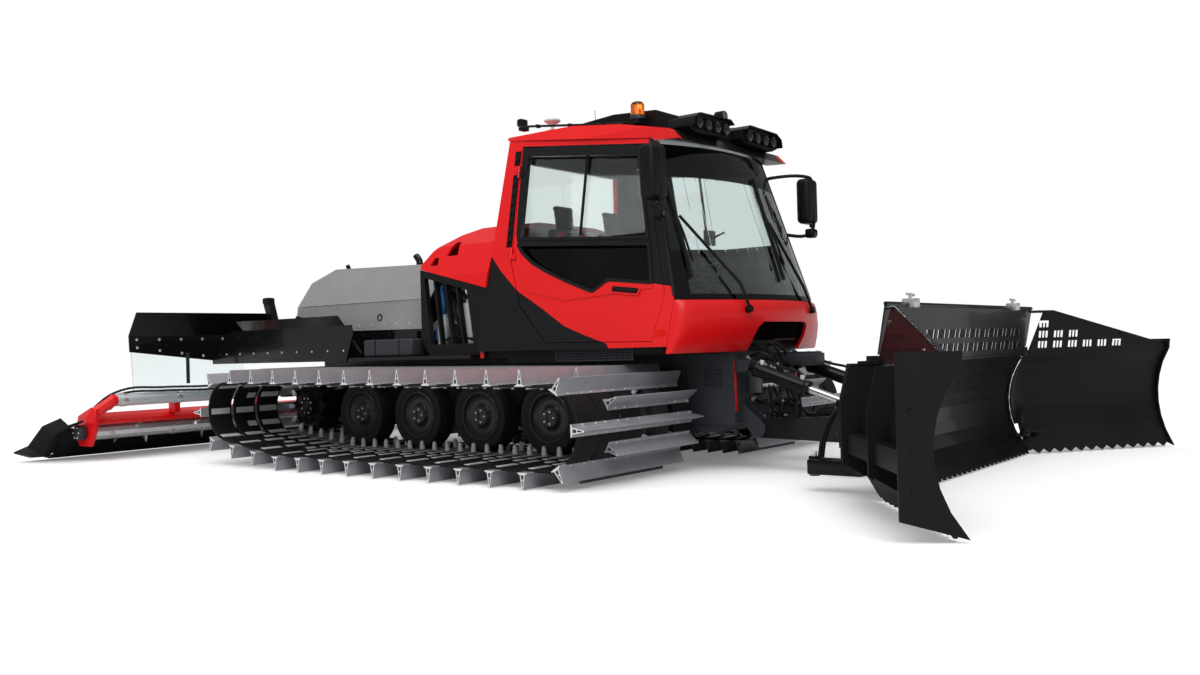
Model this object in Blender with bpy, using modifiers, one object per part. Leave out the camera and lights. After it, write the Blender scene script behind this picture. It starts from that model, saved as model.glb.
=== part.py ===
"""Tracked snow groomer with a folding front blade and a rear tiller.

Metres, +X forwards, +Y to the vehicle's left, +Z up. The ground is z = 0 and
the origin lies on it under the middle of the whole machine.
"""

import math

import bmesh
import bpy
from mathutils import Matrix, Vector

# Clearances
SEAT_GAP = 0.0003          # between two fixed pieces that touch
PIN_GAP = 0.0006           # beside and around a pin
SWING_GAP = 0.006          # between a moving piece and its surround

# Running gear, one side (mirrored for the other)
WHEEL_COUNT = 5
WHEEL_PITCH = 0.775
WHEEL_FRONT_X = 1.63       # hub of the front idler
WHEEL_RADIUS = 0.302
WHEEL_INNER_Y = 0.89
WHEEL_WIDTH = 0.19
WHEEL_DISH = 0.045         # depth of the dished face
WHEEL_RIM_RADIUS = 0.19
WHEEL_SIDES = 12
HUB_RADIUS = 0.065
HUB_OUT = 0.03             # how far the hub stands out of the tyre's face
AXLE_RADIUS = 0.045
BEAM_THICKNESS = 0.05
BEAM_HEIGHT = 0.15
SPROCKET_X = -2.24
SPROCKET_Z = 0.50
SPROCKET_RADIUS = 0.262
SPROCKET_TEETH = 12
SPROCKET_ROOT = 0.215
SPROCKET_HUB_RADIUS = 0.10
DRIVE_RADIUS = 0.14        # final drive housing behind the sprocket

TRACK_INNER_Y = 0.605
TRACK_OUTER_Y = 2.10
BELT_THICKNESS = 0.020
BAR_BASE = 0.090
BAR_HEIGHT = 0.120         # above the belt
BAR_SINK = 0.008
SHORT_BAR_OUTER_Y = 1.66
BAR_PAIRS = 30             # one long and one short bar in each pair
BOLTED_EVERY = 20           # bars with a pad that holds the inner belt
PAD_HALF = 0.03
PAD_SINK = 0.016
RUN_OFFSET = BELT_THICKNESS - BAR_SINK   # from the belts' inner face to the bars' feet
ARC_STEP = math.radians(22.5)
# inner y, outer y, how far the belt's surface lies below the outer belts'
BELTS = (
    (0.585, 0.84, BAR_SINK + PIN_GAP),
    (1.27, 2.02, 0.0),
)

# Chassis
TUB_HALF_WIDTH = 0.52
TUB_TOP = 0.93
TUB_BOTTOM = 0.30
TUB_FRONT = 2.28
TUB_REAR = -2.70
TUB_CHAMFER = 0.16

# Deck behind the cab, with its side guards and rear flaps
DECK_FRONT = 0.10
DECK_REAR = -3.60
DECK_HALF_WIDTH = 1.18
DECK_THICKNESS = 0.03
GUARD_TOP = 1.27
GUARD_LIP = 0.09
GUARD_FRONT = -1.42
PLATE = 0.012
FLAP_TOP = (-3.60, 1.47)
FLAP_FOLD = (-3.76, 1.24)
FLAP_FOOT = (-3.74, 0.97)
FLAP_INNER_Y = 0.47
FLAP_OUTER_Y = 2.10
FLAP_OUTER_FOOT_Z = 1.09   # the flap's lower edge rises outwards
SHEET_THICKNESS = 0.006
SHEET_FOOT_Z = 0.62
SHEET_INNER_Y = 0.80

# Engine bay, its hood and side covers
BAY_HALF_WIDTH = 0.93
HOOD_WALL = 0.010
HOOD_SIDE = (              # x, z of the hood seen from the side
    (-0.67, 1.21),
    (-0.67, 1.82),
    (-2.34, 1.87),
    (-2.62, 1.74),
    (-2.62, 1.40),
    (-1.69, 1.22),
)
HOOD_SECTION = (           # y, z of half of the hood seen from behind
    (0.96, 1.10),
    (0.90, 1.49),
    (0.60, 1.90),
)
ENGINE = ((-2.25, 0.02), 0.62, (0.96, 1.48))
SHROUD_WALL = 0.025
SHROUD_REAR = -0.645
SHROUD_SIDE_LOW = (1.74, 1.53)     # z of the lower edge at the rear and at the cab
SHROUD_SIDE_TOP = (                # x, z of the hump, from the rear to the cab
    (-0.645, 1.78),
    (-0.52, 1.90),
    (-0.28, 2.03),
    (0.0, 2.10),
)
SHROUD_SECTION = (
    (1.13, 1.20),
    (1.06, 1.66),
    (0.97, 1.93),
    (0.80, 2.08),
    (0.40, 2.13),
)
COVER_THICKNESS = 0.05
COVER_REAR = -0.62
COVER_OUT = 0.13           # how far the covers stand outside the bay
COVER_CORNER = (0.10, 0.12)
COVER_SLOTS = 4            # openings between leaning ribs
COVER_SLOT_REAR = -0.57
COVER_SLOT_WIDTH = 0.115
COVER_SLOT_PITCH = 0.137
COVER_SLOT_LEAN = 0.07
COVER_RIM = 0.06
COVER_SILL = 0.10

# Cab
CAB_REAR = 0.16            # outer face of the rear wall at the floor
CAB_REAR_HEAD = 0.30       # and at the roof
WALL = 0.045
CAB_FLOOR_Z = 0.985
CAB_BASE_Y = 1.165         # outer face of the side at the floor
CAB_LEAN = math.tan(math.radians(10.6))
SIDE_TOP_REAR = 2.80
SIDE_TOP_FRONT = 2.61
PILLAR_FOOT = (2.135, 1.36)
PILLAR_HEAD = (1.80, 2.61)
SILL_FRONT = (2.10, 0.985)
ROOF_EDGE = (              # x, z of the roof's upper edge, from the rear to the lip
    (0.28, 2.88),
    (0.34, 2.91),
    (1.50, 2.765),
    (1.98, 2.66),
    (2.06, 2.575),
)
ROOF_REAR = ROOF_EDGE[0]
ROOF_LIP = ROOF_EDGE[-1]
ROOF_LAP = 0.01            # how far the roof stands over the cab's sides
ROOF_SECTION = (           # in from the roof's edge, z, from the side to the middle
    (0.0, 2.30),
    (0.0, 2.70),
    (0.05, 2.83),
    (0.32, 2.905),
    (0.57, 2.93),
)
GLASS = 0.008
SCREEN_FOOT_Z = 1.33
SCREEN_HEAD_Z = 2.565
SCREEN_FOOT_BULGE = 0.30
SCREEN_HEAD_BULGE = 0.21
SCREEN_STEPS = 16
SCREEN_SEAL = 0.004        # between the screen's foot and the nose
NOSE_FOOT_Z = 0.93
NOSE_THICKNESS = 0.03
NOSE_ARCH_HALF = 0.42
NOSE_ARCH_TOP = 1.16
REAR_GLASS_HALF = 0.72
BEACON = (1.60, 0.74, 2.80)    # foot of the left beacon
BEACON_PROFILE = (
    (0, 0.145),
    (0.035, 0.14),
    (0.055, 0.11),
    (0.058, 0.03),
    (0.075, 0.0),
    (0, 0),
)
BEACON_FOOT = 0.05
FAIRING_HALF = 0.66
FAIRING = (                # x, z of the roof's fairing; the roof cuts off its foot
    (0.80, 2.60),
    (0.80, 2.862),
    (1.30, 2.90),
    (1.72, 2.875),
    (1.93, 2.79),
    (1.95, 2.60),
)
LAMP_POD_X = (1.86, 2.06)
LAMP_POD = (               # y, z of a light bar seen from the front
    (0.10, 2.705),
    (0.15, 2.672),
    (0.62, 2.655),
    (0.70, 2.685),
    (0.69, 2.755),
    (0.61, 2.795),
    (0.16, 2.805),
    (0.10, 2.775),
)
LAMPS = 4
LAMP_PLACE = (0.19, 2.73)
LAMP_PITCH = 0.135
LAMP_RADIUS = 0.048
LAMP_LENGTH = 0.05
# x, z, the way it stands, radius and length of the search light's three parts
SEARCH_LIGHT = (
    (1.87, 2.80, (0, 0, 1), 0.085, 0.06),
    (1.89, 2.85, (0, 0, 1), 0.018, 0.08),
    (1.92, 2.885, (1, 0, 0), 0.048, 0.07),
)
ANTENNA = (0.51, -0.50)
ANTENNA_PAD = 0.04
ANTENNA_PAD_Z = (2.85, 2.91)
ANTENNA_PROFILE = (
    (0, 0.105),
    (0.03, 0.10),
    (0.058, 0.085),
    (0.060, 0.075),
    (0.045, 0.060),
    (0.014, 0.045),
    (0.012, 0.0),
    (0, 0),
)
CAB_FLOOR_THICKNESS = 0.085
CAB_FLOOR_FRONT = (        # x, y of the floor's front corners
    (2.02, 1.09),
    (2.22, 0.75),
    (2.31, 0.0),
)
SKIRT_X = (0.45, 1.75)
SKIRT_FOOT_Z = 0.885
SKIRT_THICKNESS = 0.025
REAR_GLASS_Z = (1.98, 2.62)

# Doors, hinged at their rear edge
DOOR_OUTLINE = (           # x, z
    (0.46, 2.715),
    (0.46, 1.72),
    (0.60, 1.36),
    (0.92, 1.045),
    (1.96, 1.03),
    (2.045, 1.38),
    (1.735, 2.565),
)
DOOR_WINDOW = (
    (0.53, 2.64),
    (0.53, 1.93),
    (1.845, 1.83),
    (1.69, 2.50),
)
DOOR_LOW_WINDOW = (
    (0.53, 1.87),
    (0.57, 1.66),
    (0.72, 1.50),
    (1.10, 1.40),
    (1.92, 1.45),
    (1.86, 1.77),
)
HINGE_X = DOOR_OUTLINE[0][0] - SWING_GAP / 2
HINGE_OUT = 0.014          # hinge line outside the cab's side
HINGE_RADIUS = 0.011
HINGE_LEAF = 0.05
HINGE_SINK = 0.009
HINGE_HEIGHT = 0.05
HINGE_PLACES = (1.80, 2.50)
DOOR_THICKNESS = 0.040
DOOR_INSET = 0.003
DOOR_PANE = 0.006
WIPER_PIN = 0.06
DOOR_MAX = 80
PANE_LAP = 0.018

# Front frame and blade
PUSH_PIN = (2.42, 0.33)    # x, z of the lift hinge
PUSH_ARM_Y = (0.32, 0.40)
PUSH_EYE_RADIUS = 0.07
PUSH_BEAM_X = (3.16, 3.32)
PUSH_BEAM_Z = (0.22, 0.46)
SWING_X = 3.44
SWING_RADIUS = 0.075
CARRIER_PLATE_X = (3.55, 3.59)
CARRIER_HALF = 0.42
CARRIER_Z = (0.16, 0.62)
TILT_Z = 0.40
TILT_RADIUS = 0.11
BLADE_BACK_X = 3.62        # rear faces of the blade's ribs
BLADE_HINGE_X = 3.86       # line of the wing hinges
BLADE_HALF = 1.50
BLADE_FOOT_Z = 0.012
BLADE_EDGE_Z = 0.15        # top of the serrated edge
BLADE_TOP_Z = 0.85
BLADE_ARC = 0.62
BLADE_ARC_Z = 0.45
BLADE_RECESS = 0.12
BLADE_WALL = 0.014
WING_OFFSET = 0.006         # hinge line outboard of the centre section's end
EDGE_THICKNESS = 0.022
EDGE_FORWARD = 0.075
TOOTH_PITCH = 0.10
TOOTH_DEPTH = 0.035
GUARD_TOP_Z = 1.22
GUARD_WALL = 0.010
GUARD_FORWARD = 0.18       # forward lean, metres for each metre of height
RIB_THICKNESS = 0.02
WING_LENGTH = 1.40
WING_REST = math.radians(38)
WING_FOLD = math.radians(25)
WING_END_TOP_Z = 0.93
KNUCKLE_RADIUS = 0.042
KNUCKLE_HEIGHT = 0.05

# Lift cylinders
LIFT_Y = 0.455
LIFT_HEAD = (2.36, 0.82)   # x, z of the barrel's pin on the tub
LIFT_EYE = (3.24, 0.52)    # x, z of the rod's eye on the push frame
BARREL_LENGTH = 0.56
BARREL_RADIUS = 0.055
BARREL_BORE = 0.034
NECK_RADIUS = 0.028         # of the barrel's closed end, between its ears
ROD_RADIUS = 0.030
ROD_ENGAGED = 0.22
EYE_RADIUS = 0.050
EYE_WIDTH = 0.066
EAR_THICKNESS = 0.018
SQUARE_FOOT = 0.012        # stretch of an ear that is square to its wall

# Tiller
TILLER_PIN = (-2.80, 0.80)
TILLER_ARM_Y = (0.30, 0.38)
TILLER_EYE_RADIUS = 0.07
TILLER_TILT_X = -3.62
TILLER_TILT_Z = 0.60
TILLER_BEAM_HALF = 0.06
ROTOR_X = -4.12
ROTOR_Z = 0.29
ROTOR_RADIUS = 0.085
ROTOR_TIP = 0.15
ROTOR_HALF = 2.33
TINE_COUNT = 48
TINE_TURN = math.radians(105)   # from one tine to the next
TINE_BASE = 0.030
TUBE_X = -3.90
TUBE_Z = 0.60
TUBE_RADIUS = 0.06
HOUSING_RADIUS = 0.185
HOUSING_WALL = 0.012
HOUSING_END_Y = 2.36
END_PLATE = 0.025
END_LAP = 0.002            # how far the end plates reach into the cover
COVER_ARC = (25, 172)      # degrees round the rotor, from the front
MAT_HALF = 2.50
MAT_RIDGES = 12
MAT_REAR = -4.787
MAT_WING_WALL = 0.018
MAT_WING = (               # x, how far outside the mat's half width, z
    ((-4.05, -0.08, 0.40), (-4.30, -0.07, 0.33), (-4.52, -0.06, 0.10), (MAT_REAR, -0.06, 0.05)),
    ((-4.05, 0.08, 0.36), (-4.30, 0.10, 0.27), (-4.52, 0.12, 0.05), (MAT_REAR, 0.12, 0.03)),
    ((-4.05, 0.16, 0.44), (-4.30, 0.22, 0.36), (-4.52, 0.26, 0.16), (MAT_REAR, 0.28, 0.09)),
)

COLLECTION = "snow_groomer"
CUTTERS = "cutters"


def clear_scene():
    for obj in list(bpy.data.objects):
        bpy.data.objects.remove(obj, do_unlink=True)
    for name in (COLLECTION, CUTTERS):
        collection = bpy.data.collections.new(name)
        bpy.context.scene.collection.children.link(collection)


def place(obj, collection=COLLECTION):
    for owner in list(obj.users_collection):
        owner.objects.unlink(obj)
    bpy.data.collections[collection].objects.link(obj)


def material(name, colour, roughness, metallic=0.0, alpha=1.0):
    mat = bpy.data.materials.new(name)
    mat.use_nodes = True
    shader = mat.node_tree.nodes["Principled BSDF"]
    shader.inputs["Base Color"].default_value = (*colour, 1.0)
    shader.inputs["Roughness"].default_value = roughness
    shader.inputs["Metallic"].default_value = metallic
    shader.inputs["Alpha"].default_value = alpha
    return mat


def finish_mesh(mesh):
    """Weld the doubles and turn every face outwards."""
    work = bmesh.new()
    work.from_mesh(mesh)
    bmesh.ops.remove_doubles(work, verts=work.verts, dist=0.00002)
    bmesh.ops.dissolve_degenerate(work, edges=work.edges, dist=0.00002)
    bmesh.ops.recalc_face_normals(work, faces=work.faces)
    work.to_mesh(mesh)
    work.free()


def baked(obj, name=None):
    """Replace an object by a plain mesh of how it looks, its place in its points."""
    bpy.context.view_layer.update()
    graph = bpy.context.evaluated_depsgraph_get()
    mesh = bpy.data.meshes.new_from_object(obj.evaluated_get(graph))
    mesh.transform(obj.matrix_world)
    finish_mesh(mesh)
    title = name or obj.name
    bpy.data.objects.remove(obj, do_unlink=True)
    result = bpy.data.objects.new(title, mesh)
    bpy.data.collections[COLLECTION].objects.link(result)
    return result


def box(x, y, z, name="box"):
    size = (x[1] - x[0], y[1] - y[0], z[1] - z[0])
    centre = (sum(x) / 2, sum(y) / 2, sum(z) / 2)
    bpy.ops.mesh.primitive_cube_add(size=1, location=centre, scale=size)
    obj = bpy.context.object
    obj.name = name
    return baked(obj)


def cylinder(centre, axis, radius, length, sides=20, name="cylinder"):
    bpy.ops.mesh.primitive_cylinder_add(vertices=sides, radius=radius, depth=length)
    obj = bpy.context.object
    obj.name = name
    turn = Vector((0, 0, 1)).rotation_difference(Vector(axis))
    obj.matrix_world = Matrix.Translation(centre) @ turn.to_matrix().to_4x4()
    return baked(obj)


# An outline's own x, y and thickness directions for the three ways it can stand
STANDING = {
    "xz": Matrix(((1, 0, 0, 0), (0, 0, -1, 0), (0, 1, 0, 0), (0, 0, 0, 1))),
    "yz": Matrix(((0, 0, 1, 0), (1, 0, 0, 0), (0, 1, 0, 0), (0, 0, 0, 1))),
    "xy": Matrix.Identity(4),
}


def plate(outline, plane, span, holes=(), name="plate"):
    """Extrude a flat outline, with its holes, between the two values of span."""
    curve = bpy.data.curves.new(name, "CURVE")
    curve.dimensions = "2D"
    curve.fill_mode = "BOTH"
    curve.extrude = abs(span[1] - span[0]) / 2
    for points in (outline, *holes):
        spline = curve.splines.new("POLY")
        spline.points.add(len(points) - 1)
        for point, (u, v) in zip(spline.points, points):
            point.co = (u, v, 0, 1)
        spline.use_cyclic_u = True
    obj = bpy.data.objects.new(name, curve)
    bpy.data.collections[COLLECTION].objects.link(obj)
    middle = sum(span) / 2
    shift = {"xz": (0, middle, 0), "yz": (middle, 0, 0), "xy": (0, 0, middle)}[plane]
    obj.matrix_world = Matrix.Translation(shift) @ STANDING[plane]
    return baked(obj)


def tube(points, radius, name="tube", resolution=2):
    curve = bpy.data.curves.new(name, "CURVE")
    curve.dimensions = "3D"
    curve.bevel_depth = radius
    curve.bevel_resolution = resolution
    curve.use_fill_caps = True
    spline = curve.splines.new("POLY")
    spline.points.add(len(points) - 1)
    for point, place_at in zip(spline.points, points):
        point.co = (*place_at, 1)
    obj = bpy.data.objects.new(name, curve)
    bpy.data.collections[COLLECTION].objects.link(obj)
    return baked(obj)


def turned(profile, centre, axis, steps=WHEEL_SIDES, name="turned"):
    """Turn a profile of (radius, height) points, top to bottom, about an axis."""
    mesh = bpy.data.meshes.new(name)
    points = [(radius, 0, height) for radius, height in profile]
    mesh.from_pydata(points, [(i, i + 1) for i in range(len(points) - 1)], [])
    obj = bpy.data.objects.new(name, mesh)
    bpy.data.collections[COLLECTION].objects.link(obj)
    screw = obj.modifiers.new("turn", "SCREW")
    screw.axis = "Z"
    screw.steps = steps
    screw.render_steps = steps
    screw.use_merge_vertices = True
    screw.merge_threshold = 0.0001
    turn = Vector((0, 0, 1)).rotation_difference(Vector(axis))
    obj.matrix_world = Matrix.Translation(centre) @ turn.to_matrix().to_4x4()
    return baked(obj)


def surface(rows, thickness, name="surface"):
    """Give an open surface through rows of points a thickness, on its inner side."""
    count = len(rows[0])
    mesh = bpy.data.meshes.new(name)
    points = [point for row in rows for point in row]
    faces = []
    for r in range(len(rows) - 1):
        for c in range(count - 1):
            first = r * count + c
            faces.append((first, first + 1, first + count + 1, first + count))
    mesh.from_pydata(points, [], faces)
    obj = bpy.data.objects.new(name, mesh)
    bpy.data.collections[COLLECTION].objects.link(obj)
    wall = obj.modifiers.new("wall", "SOLIDIFY")
    wall.thickness = thickness
    wall.offset = -1
    wall.use_even_offset = True
    return baked(obj)


def combined(obj, others, operation):
    """Join, cut or intersect a mesh with each of the others in turn."""
    result = obj
    for other in others:
        step = result.modifiers.new(operation.lower(), "BOOLEAN")
        step.operation = operation
        step.solver = "EXACT"
        step.object = other
        place(other, CUTTERS)
        other.hide_render = True
        other.display_type = "WIRE"
        result = baked(result)
        bpy.data.objects.remove(other, do_unlink=True)
    return result


def fused(pieces):
    return combined(pieces[0], pieces[1:], "UNION")


def cut(obj, cutters):
    return combined(obj, cutters, "DIFFERENCE")


def overlap_of(obj, other):
    return combined(obj, [other], "INTERSECT")


def loose_set(pieces, name="set"):
    """Put bodies that don't touch into one mesh, for one Boolean step."""
    work = bmesh.new()
    for piece in pieces:
        work.from_mesh(piece.data)
    mesh = bpy.data.meshes.new(name)
    work.to_mesh(mesh)
    work.free()
    for piece in pieces:
        bpy.data.objects.remove(piece, do_unlink=True)
    obj = bpy.data.objects.new(name, mesh)
    bpy.data.collections[COLLECTION].objects.link(obj)
    return obj


def moved(obj, matrix):
    obj.data.transform(matrix)
    obj.data.update()
    return obj


def mirrored(obj, name):
    """A copy on the other side of the middle plane."""
    mesh = obj.data.copy()
    mesh.transform(Matrix.Scale(-1, 4, (0, 1, 0)))
    mesh.flip_normals()
    copy = bpy.data.objects.new(name, mesh)
    bpy.data.collections[COLLECTION].objects.link(copy)
    return copy


def named(obj, name, mat, smooth=30):
    obj.name = name
    obj.data.name = name
    obj.data.materials.clear()
    obj.data.materials.append(mat)
    obj.data.shade_smooth()
    obj.data.set_sharp_from_angle(angle=math.radians(smooth))
    return obj


def pivot(name, location, pieces):
    """Hang moving pieces on an empty that stands on their joint's axis."""
    empty = bpy.data.objects.new(name, None)
    empty.location = location
    bpy.data.collections[COLLECTION].objects.link(empty)
    bpy.context.view_layer.update()
    for piece in pieces:
        piece.parent = empty
        piece.matrix_parent_inverse = empty.matrix_world.inverted()
    return empty


def both_sides(obj, title, mat):
    """Name the right-hand piece and make its left-hand twin."""
    left = mirrored(obj, title + "_left")
    return [
        named(obj, title + "_right", mat),
        named(left, title + "_left", mat),
    ]


def lean(obj):
    """Slope a right-hand cab side inwards as it rises."""
    shear = Matrix.Identity(4)
    shear[1][2] = CAB_LEAN
    shear[1][3] = -CAB_LEAN * CAB_FLOOR_Z
    return moved(obj, shear)


def lean_square(obj):
    """Slope a right-hand door or pane inwards, with its edges square to the slope."""
    slope = math.atan(CAB_LEAN)
    shear = Matrix.Identity(4)
    shear[1][1] = math.cos(slope)
    shear[1][2] = CAB_LEAN
    shear[1][3] = CAB_BASE_Y * (math.cos(slope) - 1) - CAB_LEAN * CAB_FLOOR_Z
    shear[2][1] = -math.sin(slope)
    shear[2][3] = -CAB_BASE_Y * math.sin(slope)
    return moved(obj, shear)


# Running gear

def wheel_z():
    return WHEEL_RADIUS + SEAT_GAP + BAR_SINK + BAR_HEIGHT


def wheel_places():
    return [WHEEL_FRONT_X - i * WHEEL_PITCH for i in range(WHEEL_COUNT)]


def track_loop(offset):
    """Straights and arcs of the loop that runs round the wheels at an offset."""
    circles = (
        (wheel_places()[-1], wheel_z(), WHEEL_RADIUS - RUN_OFFSET + offset),
        (WHEEL_FRONT_X, wheel_z(), WHEEL_RADIUS - RUN_OFFSET + offset),
        (SPROCKET_X, SPROCKET_Z, SPROCKET_RADIUS - RUN_OFFSET + offset),
    )
    normals = []
    for i, (x0, z0, r0) in enumerate(circles):
        x1, z1, r1 = circles[(i + 1) % len(circles)]
        run = math.hypot(x1 - x0, z1 - z0)
        heading = math.atan2(z1 - z0, x1 - x0)
        normals.append(heading - math.pi / 2 + math.asin((r0 - r1) / run))
    pieces = []
    for i, (x0, z0, r0) in enumerate(circles):
        x1, z1, r1 = circles[(i + 1) % len(circles)]
        leave = normals[i]
        start = (x0 + r0 * math.cos(leave), z0 + r0 * math.sin(leave))
        end = (x1 + r1 * math.cos(leave), z1 + r1 * math.sin(leave))
        pieces.append(("line", start, end, leave))
        turn = (normals[(i + 1) % len(circles)] - leave) % (2 * math.pi)
        pieces.append(("arc", (x1, z1, r1), leave, turn))
    return pieces


def loop_outline(offset):
    outline = []
    for kind, *data in track_loop(offset):
        if kind == "line":
            outline.append(data[0])
            continue
        (x, z, r), start, turn = data
        steps = max(1, math.ceil(turn / ARC_STEP))
        for k in range(steps):
            angle = start + turn * k / steps
            outline.append((x + r * math.cos(angle), z + r * math.sin(angle)))
    return outline


def loop_stations(offset, count):
    """Evenly spaced (x, z, outward angle) places round the loop."""
    pieces = track_loop(offset)
    lengths = []
    for kind, *data in pieces:
        if kind == "line":
            lengths.append(math.dist(data[0], data[1]))
        else:
            lengths.append(data[0][2] * data[2])
    total = sum(lengths)
    stations = []
    for k in range(count):
        along = total * (k + 0.5) / count
        for (kind, *data), length in zip(pieces, lengths):
            if along <= length:
                break
            along -= length
        if kind == "line":
            share = along / length
            x = data[0][0] + share * (data[1][0] - data[0][0])
            z = data[0][1] + share * (data[1][1] - data[0][1])
            stations.append((x, z, data[2]))
        else:
            (x, z, r), start, turn = data
            angle = start + turn * along / length
            stations.append((x + r * math.cos(angle), z + r * math.sin(angle), angle))
    return stations


def on_loop(section, x, z, angle):
    """Turn points given along and out of the loop at a station into x and z."""
    out_x, out_z = math.cos(angle), math.sin(angle)
    return [(x - out_z * along + out_x * out, z + out_x * along + out_z * out) for along, out in section]


def make_track(mats):
    inside = SEAT_GAP
    outside = SEAT_GAP + BELT_THICKNESS
    belts = []
    for inner, outer, drop in BELTS:
        belts.append(plate(
            loop_outline(outside - drop), "xz", (-outer, -inner), [loop_outline(inside)]
        ))
    bars = []
    pads = []
    for i, (x, z, angle) in enumerate(loop_stations(outside, 2 * BAR_PAIRS)):
        tip = TRACK_OUTER_Y if i % 2 == 0 else SHORT_BAR_OUTER_Y
        half = BAR_BASE / 2
        section = ((-half, -BAR_SINK), (half, -BAR_SINK), (0, BAR_HEIGHT))
        bars.append(plate(on_loop(section, x, z, angle), "xz", (-tip, -TRACK_INNER_Y)))
        if i % BOLTED_EVERY == 0:
            section = (
                (-PAD_HALF, -PAD_SINK), (PAD_HALF, -PAD_SINK),
                (PAD_HALF, -BAR_SINK / 2), (-PAD_HALF, -BAR_SINK / 2),
            )
            pads.append(plate(
                on_loop(section, x, z, angle), "xz", (-BELTS[0][1] + PAD_HALF, -TRACK_INNER_Y - PAD_HALF)
            ))
    track = combined(loose_set(belts), [loose_set(bars), loose_set(pads)], "UNION")
    both_sides(track, "track", mats["track"])


def wheel_profile():
    """Radius and height of a wheel, height 0 at the tyre's inner face."""
    face = WHEEL_WIDTH
    chamfer = 0.02
    return (
        (0, face + HUB_OUT),
        (HUB_RADIUS, face + HUB_OUT),
        (WHEEL_RIM_RADIUS - chamfer, face - WHEEL_DISH),
        (WHEEL_RIM_RADIUS, face),
        (WHEEL_RADIUS, face - chamfer),
        (WHEEL_RADIUS, 0),
        (0, 0),
    )


def make_wheels(mats):
    beam_y = -TUB_HALF_WIDTH - SEAT_GAP
    pieces = []
    ends = wheel_places()
    beam = box(
        (ends[-1] - BEAM_HEIGHT / 2, ends[0] + BEAM_HEIGHT / 2),
        (beam_y - BEAM_THICKNESS, beam_y),
        (wheel_z() - BEAM_HEIGHT / 2, wheel_z() + BEAM_HEIGHT / 2),
    )
    pieces.append(beam)
    sink = 0.01
    axle_end = -WHEEL_INNER_Y - sink
    axle_start = beam_y - BEAM_THICKNESS + sink
    for x in ends:
        pieces.append(cylinder(
            (x, (axle_start + axle_end) / 2, wheel_z()),
            (0, 1, 0), AXLE_RADIUS, axle_start - axle_end, 6,
        ))
        pieces.append(turned(wheel_profile(), (x, -WHEEL_INNER_Y, wheel_z()), (0, -1, 0)))
    both_sides(fused(pieces), "road_wheels", mats["tyre"])


def make_sprocket(mats):
    outline = []
    tip = SPROCKET_RADIUS - SEAT_GAP
    for k in range(SPROCKET_TEETH):
        for share, radius in ((-0.30, SPROCKET_ROOT), (-0.12, tip), (0.12, tip), (0.30, SPROCKET_ROOT)):
            angle = 2 * math.pi * (k + share) / SPROCKET_TEETH
            outline.append((
                SPROCKET_X + radius * math.cos(angle),
                SPROCKET_Z + radius * math.sin(angle),
            ))
    outer = -WHEEL_INNER_Y - WHEEL_WIDTH
    ring = plate(outline, "xz", (outer, -WHEEL_INNER_Y))
    hub_end = outer - HUB_OUT
    hub = cylinder(
        (SPROCKET_X, (hub_end + outer) / 2 + 0.02, SPROCKET_Z),
        (0, 1, 0), SPROCKET_HUB_RADIUS, outer - hub_end + 0.04, 14,
    )
    drive_start = -TUB_HALF_WIDTH - SEAT_GAP
    drive_end = -WHEEL_INNER_Y - 0.01
    drive = cylinder(
        (SPROCKET_X, (drive_start + drive_end) / 2, SPROCKET_Z),
        (0, 1, 0), DRIVE_RADIUS, drive_start - drive_end, 12,
    )
    both_sides(fused([ring, hub, drive]), "sprocket", mats["black_steel"])


# Chassis and deck

def ears(x, z, plane_y, towards, radius, half_gap, thickness=EAR_THICKNESS, wall_x=None):
    """Two ears about an eye of the given half width, with a tail towards a point.

    With wall_x the tail's last stretch is square to an upright wall there."""
    tail_x, tail_z = towards
    heading = math.atan2(tail_z - z, tail_x - x)
    outline = []
    for k in range(6):
        angle = heading + math.pi / 2 + math.pi * k / 5
        outline.append((x + radius * math.cos(angle), z + radius * math.sin(angle)))
    ends = [(-1, tail_x), (1, tail_x)]
    if wall_x is not None:
        foot_x = wall_x + math.copysign(SQUARE_FOOT, x - wall_x)
        ends = [(-1, foot_x), (-1, tail_x), (1, tail_x), (1, foot_x)]
    for side, end_x in ends:
        if wall_x is None:
            outline.append((
                end_x + side * radius * math.cos(heading + math.pi / 2),
                tail_z + side * radius * math.sin(heading + math.pi / 2),
            ))
        else:
            outline.append((end_x, tail_z + side * radius * math.copysign(1, tail_x - x)))
    pieces = []
    for side in (-1, 1):
        near = plane_y + side * half_gap
        far = near + side * thickness
        pieces.append(plate(outline, "xz", (min(near, far), max(near, far))))
    return pieces


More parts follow.
